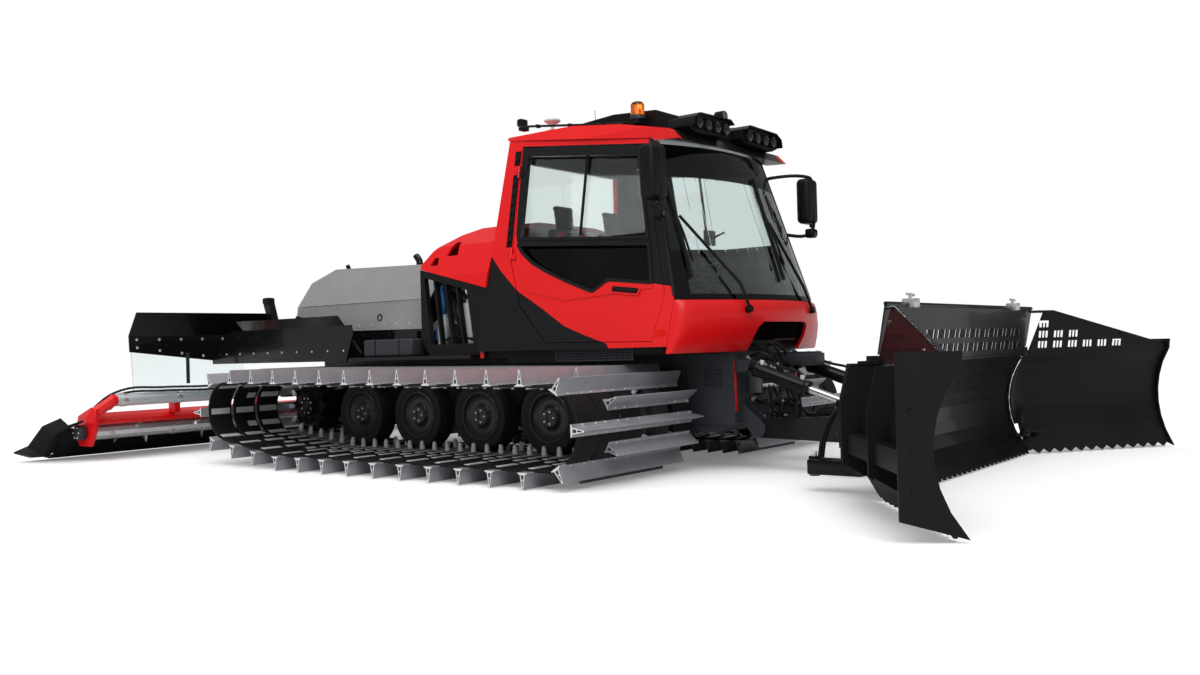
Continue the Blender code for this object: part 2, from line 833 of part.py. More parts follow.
def make_chassis(mats):
    outline = (
        (TUB_REAR, TUB_BOTTOM + TUB_CHAMFER),
        (TUB_REAR + TUB_CHAMFER, TUB_BOTTOM),
        (TUB_FRONT - TUB_CHAMFER, TUB_BOTTOM),
        (TUB_FRONT, TUB_BOTTOM + TUB_CHAMFER / 2),
        (TUB_FRONT, TUB_TOP),
        (TUB_REAR, TUB_TOP),
    )
    tub = plate(outline, "xz", (-TUB_HALF_WIDTH, TUB_HALF_WIDTH))
    sink = 0.03
    front = TUB_FRONT - sink
    rear = TUB_REAR + sink
    lugs = []
    for side in (-1, 1):
        lugs += ears(
            *LIFT_HEAD, side * LIFT_Y, (front, LIFT_HEAD[1]),
            EYE_RADIUS, EYE_WIDTH / 2 + PIN_GAP, wall_x=TUB_FRONT,
        )
        lugs += ears(
            *PUSH_PIN, side * sum(PUSH_ARM_Y) / 2, (front, PUSH_PIN[1] + 0.13),
            PUSH_EYE_RADIUS, (PUSH_ARM_Y[1] - PUSH_ARM_Y[0]) / 2 + PIN_GAP, wall_x=TUB_FRONT,
        )
        lugs += ears(
            *TILLER_PIN, side * sum(TILLER_ARM_Y) / 2, (rear, TILLER_PIN[1]),
            TILLER_EYE_RADIUS, (TILLER_ARM_Y[1] - TILLER_ARM_Y[0]) / 2 + PIN_GAP, wall_x=TUB_REAR,
        )
    named(combined(tub, [loose_set(lugs)], "UNION"), "chassis", mats["grey_steel"])


def make_deck(mats):
    floor_z = TUB_TOP + SEAT_GAP
    floor = box(
        (DECK_REAR, DECK_FRONT), (-DECK_HALF_WIDTH, DECK_HALF_WIDTH),
        (floor_z, floor_z + DECK_THICKNESS),
    )
    top = floor_z + DECK_THICKNESS
    sink = 0.005
    pieces = []
    for side in (-1, 1):
        guard = plate(
            (
                (DECK_REAR, floor_z),
                (GUARD_FRONT - 0.10, floor_z),
                (GUARD_FRONT, GUARD_TOP - 0.10),
                (GUARD_FRONT - 0.02, GUARD_TOP),
                (DECK_REAR + 0.25, GUARD_TOP),
                (DECK_REAR, GUARD_TOP - 0.17),
            ),
            "xz", sorted((side * (DECK_HALF_WIDTH - sink), side * (DECK_HALF_WIDTH + PLATE))),
        )
        lip = plate(
            (
                (side * (DECK_HALF_WIDTH + sink), GUARD_TOP - 2 * sink),
                (side * (DECK_HALF_WIDTH + GUARD_LIP), GUARD_TOP + GUARD_LIP),
                (side * (DECK_HALF_WIDTH + GUARD_LIP - PLATE), GUARD_TOP + GUARD_LIP),
                (side * (DECK_HALF_WIDTH + sink - PLATE), GUARD_TOP - 2 * sink),
            ),
            "yz", (DECK_REAR + 0.45, GUARD_FRONT - 0.12),
        )
        flap_side = (side * FLAP_INNER_Y, side * FLAP_OUTER_Y)
        flap = plate(
            (
                FLAP_TOP,
                FLAP_FOLD,
                (FLAP_FOOT[0], FLAP_FOOT[1]),
                (FLAP_FOOT[0] + PLATE, FLAP_FOOT[1]),
                (FLAP_FOLD[0] + PLATE, FLAP_FOLD[1]),
                (FLAP_TOP[0] + PLATE, FLAP_TOP[1]),
            ),
            "xz", sorted(flap_side),
        )
        trim = plate(
            (
                (side * FLAP_INNER_Y * 0.9, FLAP_FOOT[1] - 0.1),
                (side * FLAP_OUTER_Y * 1.05, FLAP_FOOT[1] - 0.1),
                (side * FLAP_OUTER_Y * 1.05, FLAP_OUTER_FOOT_Z),
                (side * DECK_HALF_WIDTH, FLAP_FOOT[1]),
            ),
            "yz", (FLAP_FOLD[0] - 0.05, FLAP_TOP[0] + 0.05),
        )
        flap = cut(flap, [trim])
        bracket = box(
            (FLAP_FOOT[0] + sink, DECK_REAR + sink), sorted((side * 0.5, side * DECK_HALF_WIDTH)),
            (floor_z, top + 0.06),
        )
        wall = plate(
            (
                (HOOD_SIDE[4][0], top - sink),
                (HOOD_SIDE[0][0], top - sink),
                (HOOD_SIDE[0][0], HOOD_SIDE[0][1] - SEAT_GAP),
                (HOOD_SIDE[5][0], HOOD_SIDE[5][1] - SEAT_GAP),
                (HOOD_SIDE[4][0], HOOD_SIDE[4][1] - SEAT_GAP),
            ),
            "xz", sorted((side * (BAY_HALF_WIDTH - 0.02), side * BAY_HALF_WIDTH)),
        )
        pieces += [guard, lip, flap, bracket, wall]
    post = plate(
        ((-3.22, top - sink), (-3.30, top - sink), (-3.52, 1.56), (-3.50, 1.62), (-3.44, 1.61)),
        "xz", (-0.68, -0.60),
    )
    named(fused([floor, *pieces, post]), "deck", mats["black_steel"])


def make_sheets(mats):
    sheet = plate(
        (
            (-SHEET_INNER_Y, SHEET_FOOT_Z),
            (-SHEET_INNER_Y, FLAP_FOOT[1] + 0.10),
            (-FLAP_OUTER_Y + 0.02, FLAP_FOLD[1] - 0.03),
            (-FLAP_OUTER_Y + 0.02, SHEET_FOOT_Z + 0.04),
        ),
        "yz", (0, SHEET_THICKNESS),
    )
    run = FLAP_FOLD[1] - FLAP_FOOT[1]
    slope = (FLAP_FOLD[0] - FLAP_FOOT[0]) / run
    shear = Matrix.Identity(4)
    shear[0][2] = slope
    shear[0][3] = FLAP_FOOT[0] - slope * FLAP_FOOT[1] - SHEET_THICKNESS - 2 * SEAT_GAP
    both_sides(moved(sheet, shear), "spray_sheet", mats["clear_sheet"])


def grown(outline, distance):
    """Move each side of a convex outline inwards by a distance."""
    count = len(outline)
    area = 0
    for i, (x0, z0) in enumerate(outline):
        x1, z1 = outline[(i + 1) % count]
        area += x0 * z1 - x1 * z0
    turn = 1 if area > 0 else -1
    lines = []
    for i, (x0, z0) in enumerate(outline):
        x1, z1 = outline[(i + 1) % count]
        run = math.hypot(x1 - x0, z1 - z0)
        nx = -(z1 - z0) / run * turn
        nz = (x1 - x0) / run * turn
        lines.append((x0 + nx * distance, z0 + nz * distance, x1 - x0, z1 - z0))
    result = []
    for i in range(count):
        ax, az, adx, adz = lines[i - 1]
        bx, bz, bdx, bdz = lines[i]
        cross = adx * bdz - adz * bdx
        along = ((bx - ax) * bdz - (bz - az) * bdx) / cross
        result.append((ax + adx * along, az + adz * along))
    return result


def half_to_full(section):
    return [(-y, z) for y, z in section] + [(y, z) for y, z in reversed(section)]


def make_hood(mats):
    section = half_to_full(HOOD_SECTION)
    shell = overlap_of(
        plate(HOOD_SIDE, "xz", (-1.2, 1.2)),
        plate(section, "yz", (-2.8, -0.5)),
    )
    inner_side = grown(HOOD_SIDE, HOOD_WALL)
    low = 0.3
    inner_side[0] = (HOOD_SIDE[0][0] + 0.1, HOOD_SIDE[0][1] - low)
    inner_side[1] = (HOOD_SIDE[0][0] + 0.1, inner_side[1][1])
    inner_side[4] = (inner_side[4][0], HOOD_SIDE[4][1] - low)
    inner_side[5] = (HOOD_SIDE[5][0], HOOD_SIDE[5][1] - low)
    inside = overlap_of(
        plate(inner_side, "xz", (-1.1, 1.1)),
        plate(grown(section, HOOD_WALL), "yz", (-2.7, -0.4)),
    )
    hood = named(cut(shell, [inside]), "hood", mats["chequer_plate"])
    pivot("hood_hinge", (HOOD_SIDE[4][0], 0, HOOD_SIDE[4][1]), [hood])


def make_engine(mats):
    x, half, z = ENGINE
    named(box(x, (-half, half), (z[0] + SEAT_GAP, z[1])), "engine", mats["engine_grey"])


def make_shroud(mats):
    side = [(SHROUD_REAR, SHROUD_SIDE_LOW[0]), *SHROUD_SIDE_TOP]
    side += [(rear_x(z) - SEAT_GAP, z) for z in (SHROUD_SECTION[-1][1], SHROUD_SIDE_LOW[1])]
    section = half_to_full(SHROUD_SECTION)
    shell = overlap_of(plate(side, "xz", (-1.3, 1.3)), plate(section, "yz", (-0.8, 0.5)))
    inner = [(y, z - SHROUD_WALL) for y, z in grown(section, SHROUD_WALL * 0.6)]
    under = [(x, z - SHROUD_WALL) for x, z in side[1:-1]]
    under += [(0.3, under[-1][1]), (0.3, 1.0), (-0.9, 1.0), (-0.9, 1.70)]
    inside = overlap_of(
        plate(under, "xz", (-1.3, 1.3)),
        plate(inner, "yz", (-0.9, 0.4)),
    )
    shroud = cut(shell, [inside])
    vents = []
    for x, z, long, tall in ((-0.27, 1.90, 0.14, 0.12), (-0.48, 1.80, 0.10, 0.07)):
        outline = (
            (x - long / 2, z - tall / 2),
            (x + long / 2, z - tall / 2),
            (x + long / 2, z + tall / 2),
            (x, z + tall / 2),
        )
        vents.append(plate(outline, "xz", (-1.5, 1.5)))
    named(cut(shroud, [loose_set(vents)]), "rear_shroud", mats["red_paint"])


def make_engine_covers(mats):
    floor = TUB_TOP + SEAT_GAP + DECK_THICKNESS + SEAT_GAP
    low_rear, low_front = SHROUD_SIDE_LOW
    rear_top = (COVER_REAR, low_rear - 0.01)
    front_top = (rear_x(low_front) - SEAT_GAP, low_front - SEAT_GAP * 2)
    outline = (
        (COVER_REAR + COVER_CORNER[0], floor),
        (rear_x(floor) - SEAT_GAP, floor),
        front_top,
        rear_top,
        (COVER_REAR, floor + COVER_CORNER[1]),
    )

    def slot_top(x):
        fall = (rear_top[1] - front_top[1]) / (front_top[0] - rear_top[0])
        return (x, rear_top[1] - COVER_RIM - (x - rear_top[0]) * fall)

    slots = []
    for k in range(COVER_SLOTS):
        x = COVER_SLOT_REAR + COVER_SLOT_PITCH * k
        foot = x + COVER_SLOT_LEAN
        slots.append((
            (foot, floor + COVER_SILL),
            (foot + COVER_SLOT_WIDTH, floor + COVER_SILL),
            slot_top(x + COVER_SLOT_WIDTH),
            slot_top(x),
        ))
    outside = -BAY_HALF_WIDTH - COVER_OUT
    cover = plate(outline, "xz", (outside, outside + COVER_THICKNESS), slots)
    both_sides(cover, "engine_cover", mats["black_plastic"])


# Cab

def side_top_z(x):
    share = (x - CAB_REAR_HEAD) / (PILLAR_HEAD[0] - CAB_REAR_HEAD)
    return SIDE_TOP_REAR + share * (SIDE_TOP_FRONT - SIDE_TOP_REAR)


def rear_x(z):
    """Outer face of the rear wall, which leans forwards with height."""
    share = (z - CAB_FLOOR_Z) / (SIDE_TOP_REAR - CAB_FLOOR_Z)
    return CAB_REAR + share * (CAB_REAR_HEAD - CAB_REAR)


def lean_rear(obj):
    for vertex in obj.data.vertices:
        vertex.co.x += rear_x(vertex.co.z) - CAB_REAR
    return obj


def side_y(z):
    return CAB_BASE_Y - (z - CAB_FLOOR_Z) * CAB_LEAN


def hinge_frame(z):
    """Place on the right door's hinge line: X backwards, Y outwards, Z up the line."""
    out = Vector((0, -1, CAB_LEAN)).normalized()
    up = Vector((0, CAB_LEAN, 1)).normalized()
    place = Vector((HINGE_X, -side_y(z), z)) + out * HINGE_OUT
    frame = Matrix((Vector((-1, 0, 0)), out, up)).transposed().to_4x4()
    frame.translation = place
    return frame


def hinge_leaf(z, towards, low, high):
    """A knuckle on the hinge line and the leaf that holds it, forwards (-1) or backwards (1)."""
    inset = 0.001
    knuckle = cylinder((0, 0, (low + high) / 2), (0, 0, 1), HINGE_RADIUS, high - low, 12)
    leaf = box(
        sorted((0, towards * HINGE_LEAF)),
        (-HINGE_OUT - HINGE_SINK, -0.002),
        (low + inset, high - inset),
    )
    return moved(fused([knuckle, leaf]), hinge_frame(z))


def make_cab_sides(mats):
    outline = (
        (CAB_REAR, CAB_FLOOR_Z),
        SILL_FRONT,
        PILLAR_FOOT,
        PILLAR_HEAD,
        (CAB_REAR_HEAD, SIDE_TOP_REAR),
    )
    side = lean(plate(outline, "xz", (-CAB_BASE_Y, -CAB_BASE_Y + WALL)))
    opening = lean_square(plate(
        grown(DOOR_OUTLINE, -SWING_GAP), "xz", (-CAB_BASE_Y - WALL, -CAB_BASE_Y + 2 * WALL)
    ))
    leaves = [hinge_leaf(z, 1, PIN_GAP, HINGE_HEIGHT) for z in HINGE_PLACES]
    both_sides(fused([cut(side, [opening]), *leaves]), "cab_side", mats["red_paint"])


def make_doors(mats):
    outer = -CAB_BASE_Y + DOOR_INSET
    door = plate(
        DOOR_OUTLINE, "xz", (outer, outer + DOOR_THICKNESS), [DOOR_WINDOW, DOOR_LOW_WINDOW]
    )
    leaves = [hinge_leaf(z, -1, -HINGE_HEIGHT, 0) for z in HINGE_PLACES]
    doors = both_sides(fused([lean_square(door), *leaves]), "door", mats["red_paint"])
    inner = outer + DOOR_THICKNESS + SEAT_GAP
    pane_outline = (
        (DOOR_WINDOW[0][0] - PANE_LAP, DOOR_WINDOW[0][1] + PANE_LAP),
        (DOOR_WINDOW[0][0] - PANE_LAP, DOOR_LOW_WINDOW[1][1]),
        (DOOR_LOW_WINDOW[2][0] - PANE_LAP, DOOR_LOW_WINDOW[2][1] - PANE_LAP),
        (DOOR_LOW_WINDOW[3][0], DOOR_LOW_WINDOW[3][1] - PANE_LAP),
        (DOOR_LOW_WINDOW[4][0] + PANE_LAP, DOOR_LOW_WINDOW[4][1] - PANE_LAP),
        (DOOR_WINDOW[3][0] + PANE_LAP, DOOR_WINDOW[3][1] + PANE_LAP),
    )
    pane = plate(pane_outline, "xz", (inner, inner + DOOR_PANE))
    panes = both_sides(lean_square(pane), "door_glass", mats["tinted_glass"])
    x, y, z = hinge_frame(HINGE_PLACES[0]).translation
    for side, door, pane in zip((-1, 1), doors, panes):
        name = "door_hinge_right" if side < 0 else "door_hinge_left"
        pivot(name, (x, -side * y, z), [door, pane])


def side_inner(z):
    return side_y(z) - WALL


def make_cab_floor(mats):
    low = TUB_TOP + SEAT_GAP
    high = low + CAB_FLOOR_THICKNESS
    half = CAB_FLOOR_FRONT[0][1]
    rear = rear_x(high) + WALL + SEAT_GAP
    front = [(x, -y) for x, y in CAB_FLOOR_FRONT] + [(x, y) for x, y in CAB_FLOOR_FRONT[-2::-1]]
    pieces = [plate([(rear, -half), *front, (rear, half)], "xy", (low, high))]
    for side in (-1, 1):
        skirt_y = sorted((side * half, side * (half - SKIRT_THICKNESS)))
        pieces.append(box(SKIRT_X, skirt_y, (SKIRT_FOOT_Z, high)))
    named(fused(pieces), "cab_floor", mats["black_plastic"])


def make_rear_wall(mats):
    top = side_top_z(CAB_REAR_HEAD + WALL)
    low = TUB_TOP + SEAT_GAP
    floor_half = side_inner(CAB_FLOOR_Z) - SEAT_GAP
    outline = (
        (-floor_half, low),
        (floor_half, low),
        (floor_half, CAB_FLOOR_Z),
        (side_inner(top) - SEAT_GAP, top),
        (-side_inner(top) + SEAT_GAP, top),
        (-floor_half, CAB_FLOOR_Z),
    )
    low_z, high_z = REAR_GLASS_Z
    window = (
        (-REAR_GLASS_HALF, low_z),
        (REAR_GLASS_HALF, low_z),
        (REAR_GLASS_HALF - 0.06, high_z),
        (-REAR_GLASS_HALF + 0.06, high_z),
    )
    wall = lean_rear(plate(outline, "yz", (CAB_REAR, CAB_REAR + WALL), [window]))
    named(wall, "cab_rear_wall", mats["red_paint"])
    inside = CAB_REAR + WALL + SEAT_GAP
    pane = lean_rear(plate(grown(window, -PANE_LAP), "yz", (inside, inside + DOOR_PANE)))
    named(pane, "rear_glass", mats["tinted_glass"])


def make_roof(mats):
    half = side_y(SIDE_TOP_FRONT) + ROOF_LAP
    outline = (
        (ROOF_REAR[0], side_top_z(ROOF_REAR[0]) + SEAT_GAP),
        *ROOF_EDGE,
        (PILLAR_HEAD[0] + 0.06, ROOF_LIP[1] + 0.01),
        (PILLAR_HEAD[0], side_top_z(PILLAR_HEAD[0]) + SEAT_GAP),
    )
    roof = plate(outline, "xz", (-half, half))
    crown = half_to_full([(half - inwards, z) for inwards, z in ROOF_SECTION])
    rise = plate(crown, "yz", (ROOF_REAR[0] - WALL, ROOF_LIP[0] + WALL))
    x, y = ANTENNA
    pad = box(
        (x - ANTENNA_PAD, x + ANTENNA_PAD), (y - ANTENNA_PAD, y + ANTENNA_PAD), ANTENNA_PAD_Z
    )
    named(fused([overlap_of(roof, rise), pad]), "cab_roof", mats["red_paint"])
    foot = (x, y, ANTENNA_PAD_Z[1] + SEAT_GAP)
    named(turned(ANTENNA_PROFILE, foot, (0, 0, 1), 16), "antenna", mats["white_plastic"])


def arc_of(half, bulge):
    """Radius and half angle of an arc with a given half chord and rise."""
    radius = (half ** 2 + bulge ** 2) / (2 * bulge)
    return radius, math.asin(half / radius)


def front_arc(z, front_x, bulge, half, steps=SCREEN_STEPS):
    """Points across the cab on an arc that bulges forwards."""
    radius, reach = arc_of(half, bulge)
    row = []
    for k in range(steps + 1):
        angle = -reach + 2 * reach * k / steps
        row.append((
            front_x + radius * (math.cos(angle) - math.cos(reach)),
            radius * math.sin(angle),
            z,
        ))
    return row


def pillar_x(z):
    share = (z - PILLAR_FOOT[1]) / (PILLAR_HEAD[1] - PILLAR_FOOT[1])
    return PILLAR_FOOT[0] + share * (PILLAR_HEAD[0] - PILLAR_FOOT[0])


def screen_row(z):
    share = (z - SCREEN_FOOT_Z) / (SCREEN_HEAD_Z - SCREEN_FOOT_Z)
    bulge = SCREEN_FOOT_BULGE + share * (SCREEN_HEAD_BULGE - SCREEN_FOOT_BULGE)
    half = side_y(z) - 0.004
    edge = GLASS * math.cos(arc_of(half, bulge)[1])
    return front_arc(z, pillar_x(z) + edge + SEAT_GAP * 2, bulge, half)


def make_windshield(mats):
    rows = [screen_row(SCREEN_FOOT_Z + SCREEN_SEAL), screen_row(SCREEN_HEAD_Z)]
    named(surface(rows, GLASS), "windshield", mats["tinted_glass"])


def make_nose(mats):
    half = side_y(SCREEN_FOOT_Z) - 0.002
    seat = NOSE_THICKNESS + SEAT_GAP
    rows = [
        front_arc(NOSE_FOOT_Z, SILL_FRONT[0] + seat, 0.25, half),
        front_arc((NOSE_FOOT_Z + SCREEN_FOOT_Z) / 2, 2.15 + seat, 0.31, half),
        front_arc(SCREEN_FOOT_Z, 2.15 + GLASS, SCREEN_FOOT_BULGE, half),
    ]
    nose = surface(rows, NOSE_THICKNESS)
    arch = plate(
        (
            (-NOSE_ARCH_HALF, NOSE_FOOT_Z - 0.1),
            (NOSE_ARCH_HALF, NOSE_FOOT_Z - 0.1),
            (NOSE_ARCH_HALF * 0.8, NOSE_ARCH_TOP),
            (-NOSE_ARCH_HALF * 0.8, NOSE_ARCH_TOP),
        ),
        "yz", (2.0, 2.8),
    )
    named(cut(nose, [arch]), "nose", mats["red_paint"])


def seat(y, mats, name):
    floor = CAB_FLOOR_Z + 0.03 + SEAT_GAP
    base = box((0.72, 1.02), (y - 0.16, y + 0.16), (floor, floor + 0.32))
    cushion = plate(
        (
            (0.62, floor + 0.30),
            (1.17, floor + 0.30),
            (1.20, floor + 0.40),
            (1.12, floor + 0.45),
            (0.62, floor + 0.42),
        ),
        "xz", (y - 0.25, y + 0.25),
    )
    back = plate(
        (
            (0.64, floor + 0.38),
            (0.76, floor + 0.40),
            (0.62, floor + 1.02),
            (0.56, floor + 1.05),
            (0.50, floor + 1.02),
            (0.52, floor + 0.90),
        ),
        "xz", (y - 0.23, y + 0.23),
    )
    rest = plate(
        (
            (0.53, floor + 0.98),
            (0.60, floor + 0.98),
            (0.57, floor + 1.24),
            (0.49, floor + 1.24),
        ),
        "xz", (y - 0.12, y + 0.12),
    )
    named(fused([base, cushion, back, rest]), name, mats["seat_cloth"])


def make_dashboard(mats):
    floor = CAB_FLOOR_Z + 0.03 + SEAT_GAP
    body = plate(
        ((1.72, floor), (2.02, floor), (2.10, floor + 0.24), (1.95, floor + 0.33), (1.80, floor + 0.30)),
        "xz", (-0.62, 0.62),
    )
    column = tube(((1.85, 0.28, floor + 0.28), (1.55, 0.28, floor + 0.56)), 0.025)
    bpy.ops.mesh.primitive_torus_add(
        location=(1.56, 0.28, floor + 0.55), rotation=(0, math.radians(-43), 0),
        major_radius=0.17, minor_radius=0.016, major_segments=20, minor_segments=6,
    )
    rim = baked(bpy.context.object)
    spoke = box((1.545, 1.575), (0.10, 0.46), (floor + 0.535, floor + 0.565))
    named(fused([body, column, rim, spoke]), "dashboard", mats["black_plastic"])


def make_roof_gear(mats):
    pieces = [plate(FAIRING, "xz", (-FAIRING_HALF, FAIRING_HALF))]
    for side in (-1, 1):
        pieces.append(plate([(side * y, z) for y, z in LAMP_POD], "yz", LAMP_POD_X))
        for k in range(LAMPS):
            y = side * (LAMP_PLACE[0] + LAMP_PITCH * k)
            place = (LAMP_POD_X[1], y, LAMP_PLACE[1])
            pieces.append(cylinder(place, (1, 0, 0), LAMP_RADIUS, LAMP_LENGTH, 12))
        pieces.append(box(
            (BEACON[0] - BEACON_FOOT, BEACON[0] + BEACON_FOOT),
            sorted((side * (FAIRING_HALF - 0.02), side * (BEACON[1] + 0.06))),
            (BEACON[2] - 0.04, BEACON[2] - SEAT_GAP),
        ))
    for x, z, axis, radius, length in SEARCH_LIGHT:
        pieces.append(cylinder((x, 0, z), axis, radius, length, 16))
    under = [(x, z + SEAT_GAP) for x, z in ROOF_EDGE]
    under += [(ROOF_LIP[0], PILLAR_FOOT[1]), (ROOF_REAR[0], PILLAR_FOOT[1])]
    gear = cut(fused(pieces), [plate(under, "xz", (-CAB_BASE_Y, CAB_BASE_Y))])
    named(gear, "roof_fairing", mats["black_plastic"])
    for side, word in ((-1, "right"), (1, "left")):
        place = (BEACON[0], side * BEACON[1], BEACON[2])
        named(turned(BEACON_PROFILE, place, (0, 0, 1), 14), "beacon_" + word, mats["orange_lens"])


def make_mirror(mats):
    z_high, z_low = 2.46, 1.98
    grip = 0.016
    outwards = Vector((0, -1, CAB_LEAN)).normalized()
    off = outwards * 2 * SEAT_GAP
    feet = [Vector((pillar_x(z) - 0.05, -side_y(z), z)) + off for z in (z_high, z_low)]
    path = (
        feet[0],
        feet[0] + outwards * 0.04,
        (pillar_x(z_high), -side_y(z_high) - 0.10, z_high + 0.03),
        (2.12, -1.22, z_high + 0.03),
        (2.12, -1.22, z_low),
        (pillar_x(z_low), -side_y(z_low) - 0.10, z_low - 0.02),
        feet[1] + outwards * 0.04,
        feet[1],
    )
    arm = tube(path, grip, resolution=1)
    head = box((2.06, 2.14), (-1.34, -1.14), (2.06, 2.48))
    lamp = box((2.06, 2.15), (-1.27, -1.17), (1.93, 2.02))
    both_sides(fused([arm, head, lamp]), "mirror", mats["black_plastic"])


def make_wipers(mats):
    for word, y in (("right", -0.52), ("left", 0.52)):
        foot = front_x_at(1.25, abs(y))
        step = 0.01
        normal = Vector((
            1,
            (front_x_at(1.25, abs(y)) - front_x_at(1.25, abs(y) + step)) / step * math.copysign(1, y),
            (front_x_at(1.25 - step, abs(y)) - foot) / step,
        )).normalized()
        middle = Vector((foot, y, 1.25)) + normal * (WIPER_PIN / 2 + SEAT_GAP)
        pin = cylinder(middle, normal, 0.028, WIPER_PIN, 12)
        tip_y = y - 0.36
        tip = (screen_x_at(1.98, tip_y) + 0.035, tip_y, 1.98)
        bend = (screen_x_at(1.45, y) + 0.06, y - 0.06, 1.45)
        arm = tube(((foot + 0.045, y, 1.25), bend, tip), 0.012, resolution=1)
        named(fused([pin, arm]), "wiper_" + word, mats["black_plastic"])


def screen_x_at(z, y):
    row = screen_row(z)
    for (x0, y0, _), (x1, y1, _) in zip(row, row[1:]):
        if y0 <= y <= y1:
            return x0 + (x1 - x0) * (y - y0) / (y1 - y0)
    return row[0][0]


def front_x_at(z, y):
    half = side_y(SCREEN_FOOT_Z) - 0.002
    share = (z - (NOSE_FOOT_Z + SCREEN_FOOT_Z) / 2) / ((SCREEN_FOOT_Z - NOSE_FOOT_Z) / 2)
    low = front_arc(z, 2.15 + NOSE_THICKNESS + SEAT_GAP, 0.31, half)
    high = front_arc(z, 2.15 + GLASS, SCREEN_FOOT_BULGE, half)
    for k in range(len(low) - 1):
        if low[k][1] <= y <= low[k + 1][1]:
            part = (y - low[k][1]) / (low[k + 1][1] - low[k][1])
            x_low = low[k][0] + part * (low[k + 1][0] - low[k][0])
            x_high = high[k][0] + part * (high[k + 1][0] - high[k][0])
            return x_low + share * (x_high - x_low)
    return low[0][0]


# Front frame and blade

def make_push_frame(mats):
    sink = 0.02
    pieces = [box(PUSH_BEAM_X, (-0.55, 0.55), PUSH_BEAM_Z)]
    for side in (-1, 1):
        ys = sorted(side * y for y in PUSH_ARM_Y)
        x, z = PUSH_PIN
        outline = []
        for k in range(9):
            angle = math.pi / 2 + math.pi * k / 8
            outline.append((
                x + PUSH_EYE_RADIUS * math.cos(angle), z + PUSH_EYE_RADIUS * math.sin(angle)
            ))
        outline += [
            (PUSH_BEAM_X[0] + sink, PUSH_BEAM_Z[0] + 0.02),
            (PUSH_BEAM_X[0] + sink, PUSH_BEAM_Z[1] - 0.02),
        ]
        pieces.append(plate(outline, "xz", ys))
        pieces += ears(
            *LIFT_EYE, side * LIFT_Y, (LIFT_EYE[0], PUSH_BEAM_Z[1] - sink),
            EYE_RADIUS, EYE_WIDTH / 2 + PIN_GAP,
        )
    neck = box((PUSH_BEAM_X[1] - sink, SWING_X), (-0.05, 0.05), (0.28, 0.44))
    swing = cylinder((SWING_X, 0, 0.36), (0, 0, 1), SWING_RADIUS, 0.24, 20)
    frame = fused([*pieces, neck, swing])
    named(frame, "push_frame", mats["black_steel"])
    return frame


def make_lift_cylinders(mats):
    run_x = LIFT_EYE[0] - LIFT_HEAD[0]
    run_z = LIFT_EYE[1] - LIFT_HEAD[1]
    length = math.hypot(run_x, run_z)
    direction = (run_x / length, 0, run_z / length)
    head = (LIFT_HEAD[0], -LIFT_Y, LIFT_HEAD[1])
    eye = (LIFT_EYE[0], -LIFT_Y, LIFT_EYE[1])
    start = EYE_RADIUS * 0.6
    bottom = 0.085
    profile = (
        (BARREL_BORE, BARREL_LENGTH),
        (BARREL_RADIUS, BARREL_LENGTH),
        (BARREL_RADIUS, EYE_RADIUS + 0.03),
        (NECK_RADIUS, EYE_RADIUS + SWING_GAP),
        (NECK_RADIUS, start),
        (0, start),
    )
    outer = turned(
        ((0, BARREL_LENGTH), *profile[1:]), head, direction, 16
    )
    bore_mid = (BARREL_LENGTH + bottom + 0.02) / 2
    bore = cylinder(
        [head[i] + direction[i] * bore_mid for i in range(3)], direction,
        BARREL_BORE, BARREL_LENGTH - bottom + 0.02, 16,
    )
    eye_disc = cylinder(head, (0, 1, 0), EYE_RADIUS, EYE_WIDTH, 16)
    barrels = both_sides(cut(fused([outer, eye_disc]), [bore]), "lift_barrel", mats["black_steel"])
    rod_start = BARREL_LENGTH - ROD_ENGAGED
    rod_mid = (rod_start + length) / 2
    rod = cylinder(
        [head[i] + direction[i] * rod_mid for i in range(3)], direction,
        ROD_RADIUS, length - rod_start, 16,
    )
    rods = both_sides(
        fused([rod, cylinder(eye, (0, 1, 0), EYE_RADIUS - 0.004, EYE_WIDTH, 16)]),
        "lift_rod", mats["chrome"],
    )
    for side, word in ((-1, "right"), (1, "left")):
        index = 0 if side < 0 else 1
        pivot("lift_head_" + word, (LIFT_HEAD[0], side * LIFT_Y, LIFT_HEAD[1]),
              [barrels[index], rods[index]])


def make_carrier(mats):
    """The frame that swings on the push frame's upright pin and bears the blade."""
    sink = 0.01
    pieces = [box(CARRIER_PLATE_X, (-CARRIER_HALF, CARRIER_HALF), CARRIER_Z)]
    for z in ((0.20, 0.2394), (0.4806, 0.52)):
        pieces.append(plate(
            (
                (CARRIER_PLATE_X[0] + sink, -0.20),
                (CARRIER_PLATE_X[0] + sink, 0.20),
                (SWING_X - 0.04, 0.085),
                (SWING_X - 0.085, 0.04),
                (SWING_X - 0.085, -0.04),
                (SWING_X - 0.04, -0.085),
            ),
            "xy", z,
        ))
    carrier = fused(pieces)
    return named(carrier, "blade_carrier", mats["black_steel"])


def profile_x(z):
    """Forward place of the mouldboard's face, from the wing hinge's line."""
    return BLADE_ARC - BLADE_RECESS - math.sqrt(BLADE_ARC ** 2 - (z - BLADE_ARC_Z) ** 2)


def mouldboard_outline():
    steps = 8
    front = []
    for k in range(steps + 1):
        z = BLADE_EDGE_Z - 0.03 + (BLADE_TOP_Z - BLADE_EDGE_Z + 0.03) * k / steps
        front.append((profile_x(z), z))
    back = [(x - BLADE_WALL, z) for x, z in reversed(front)]
    return front + back


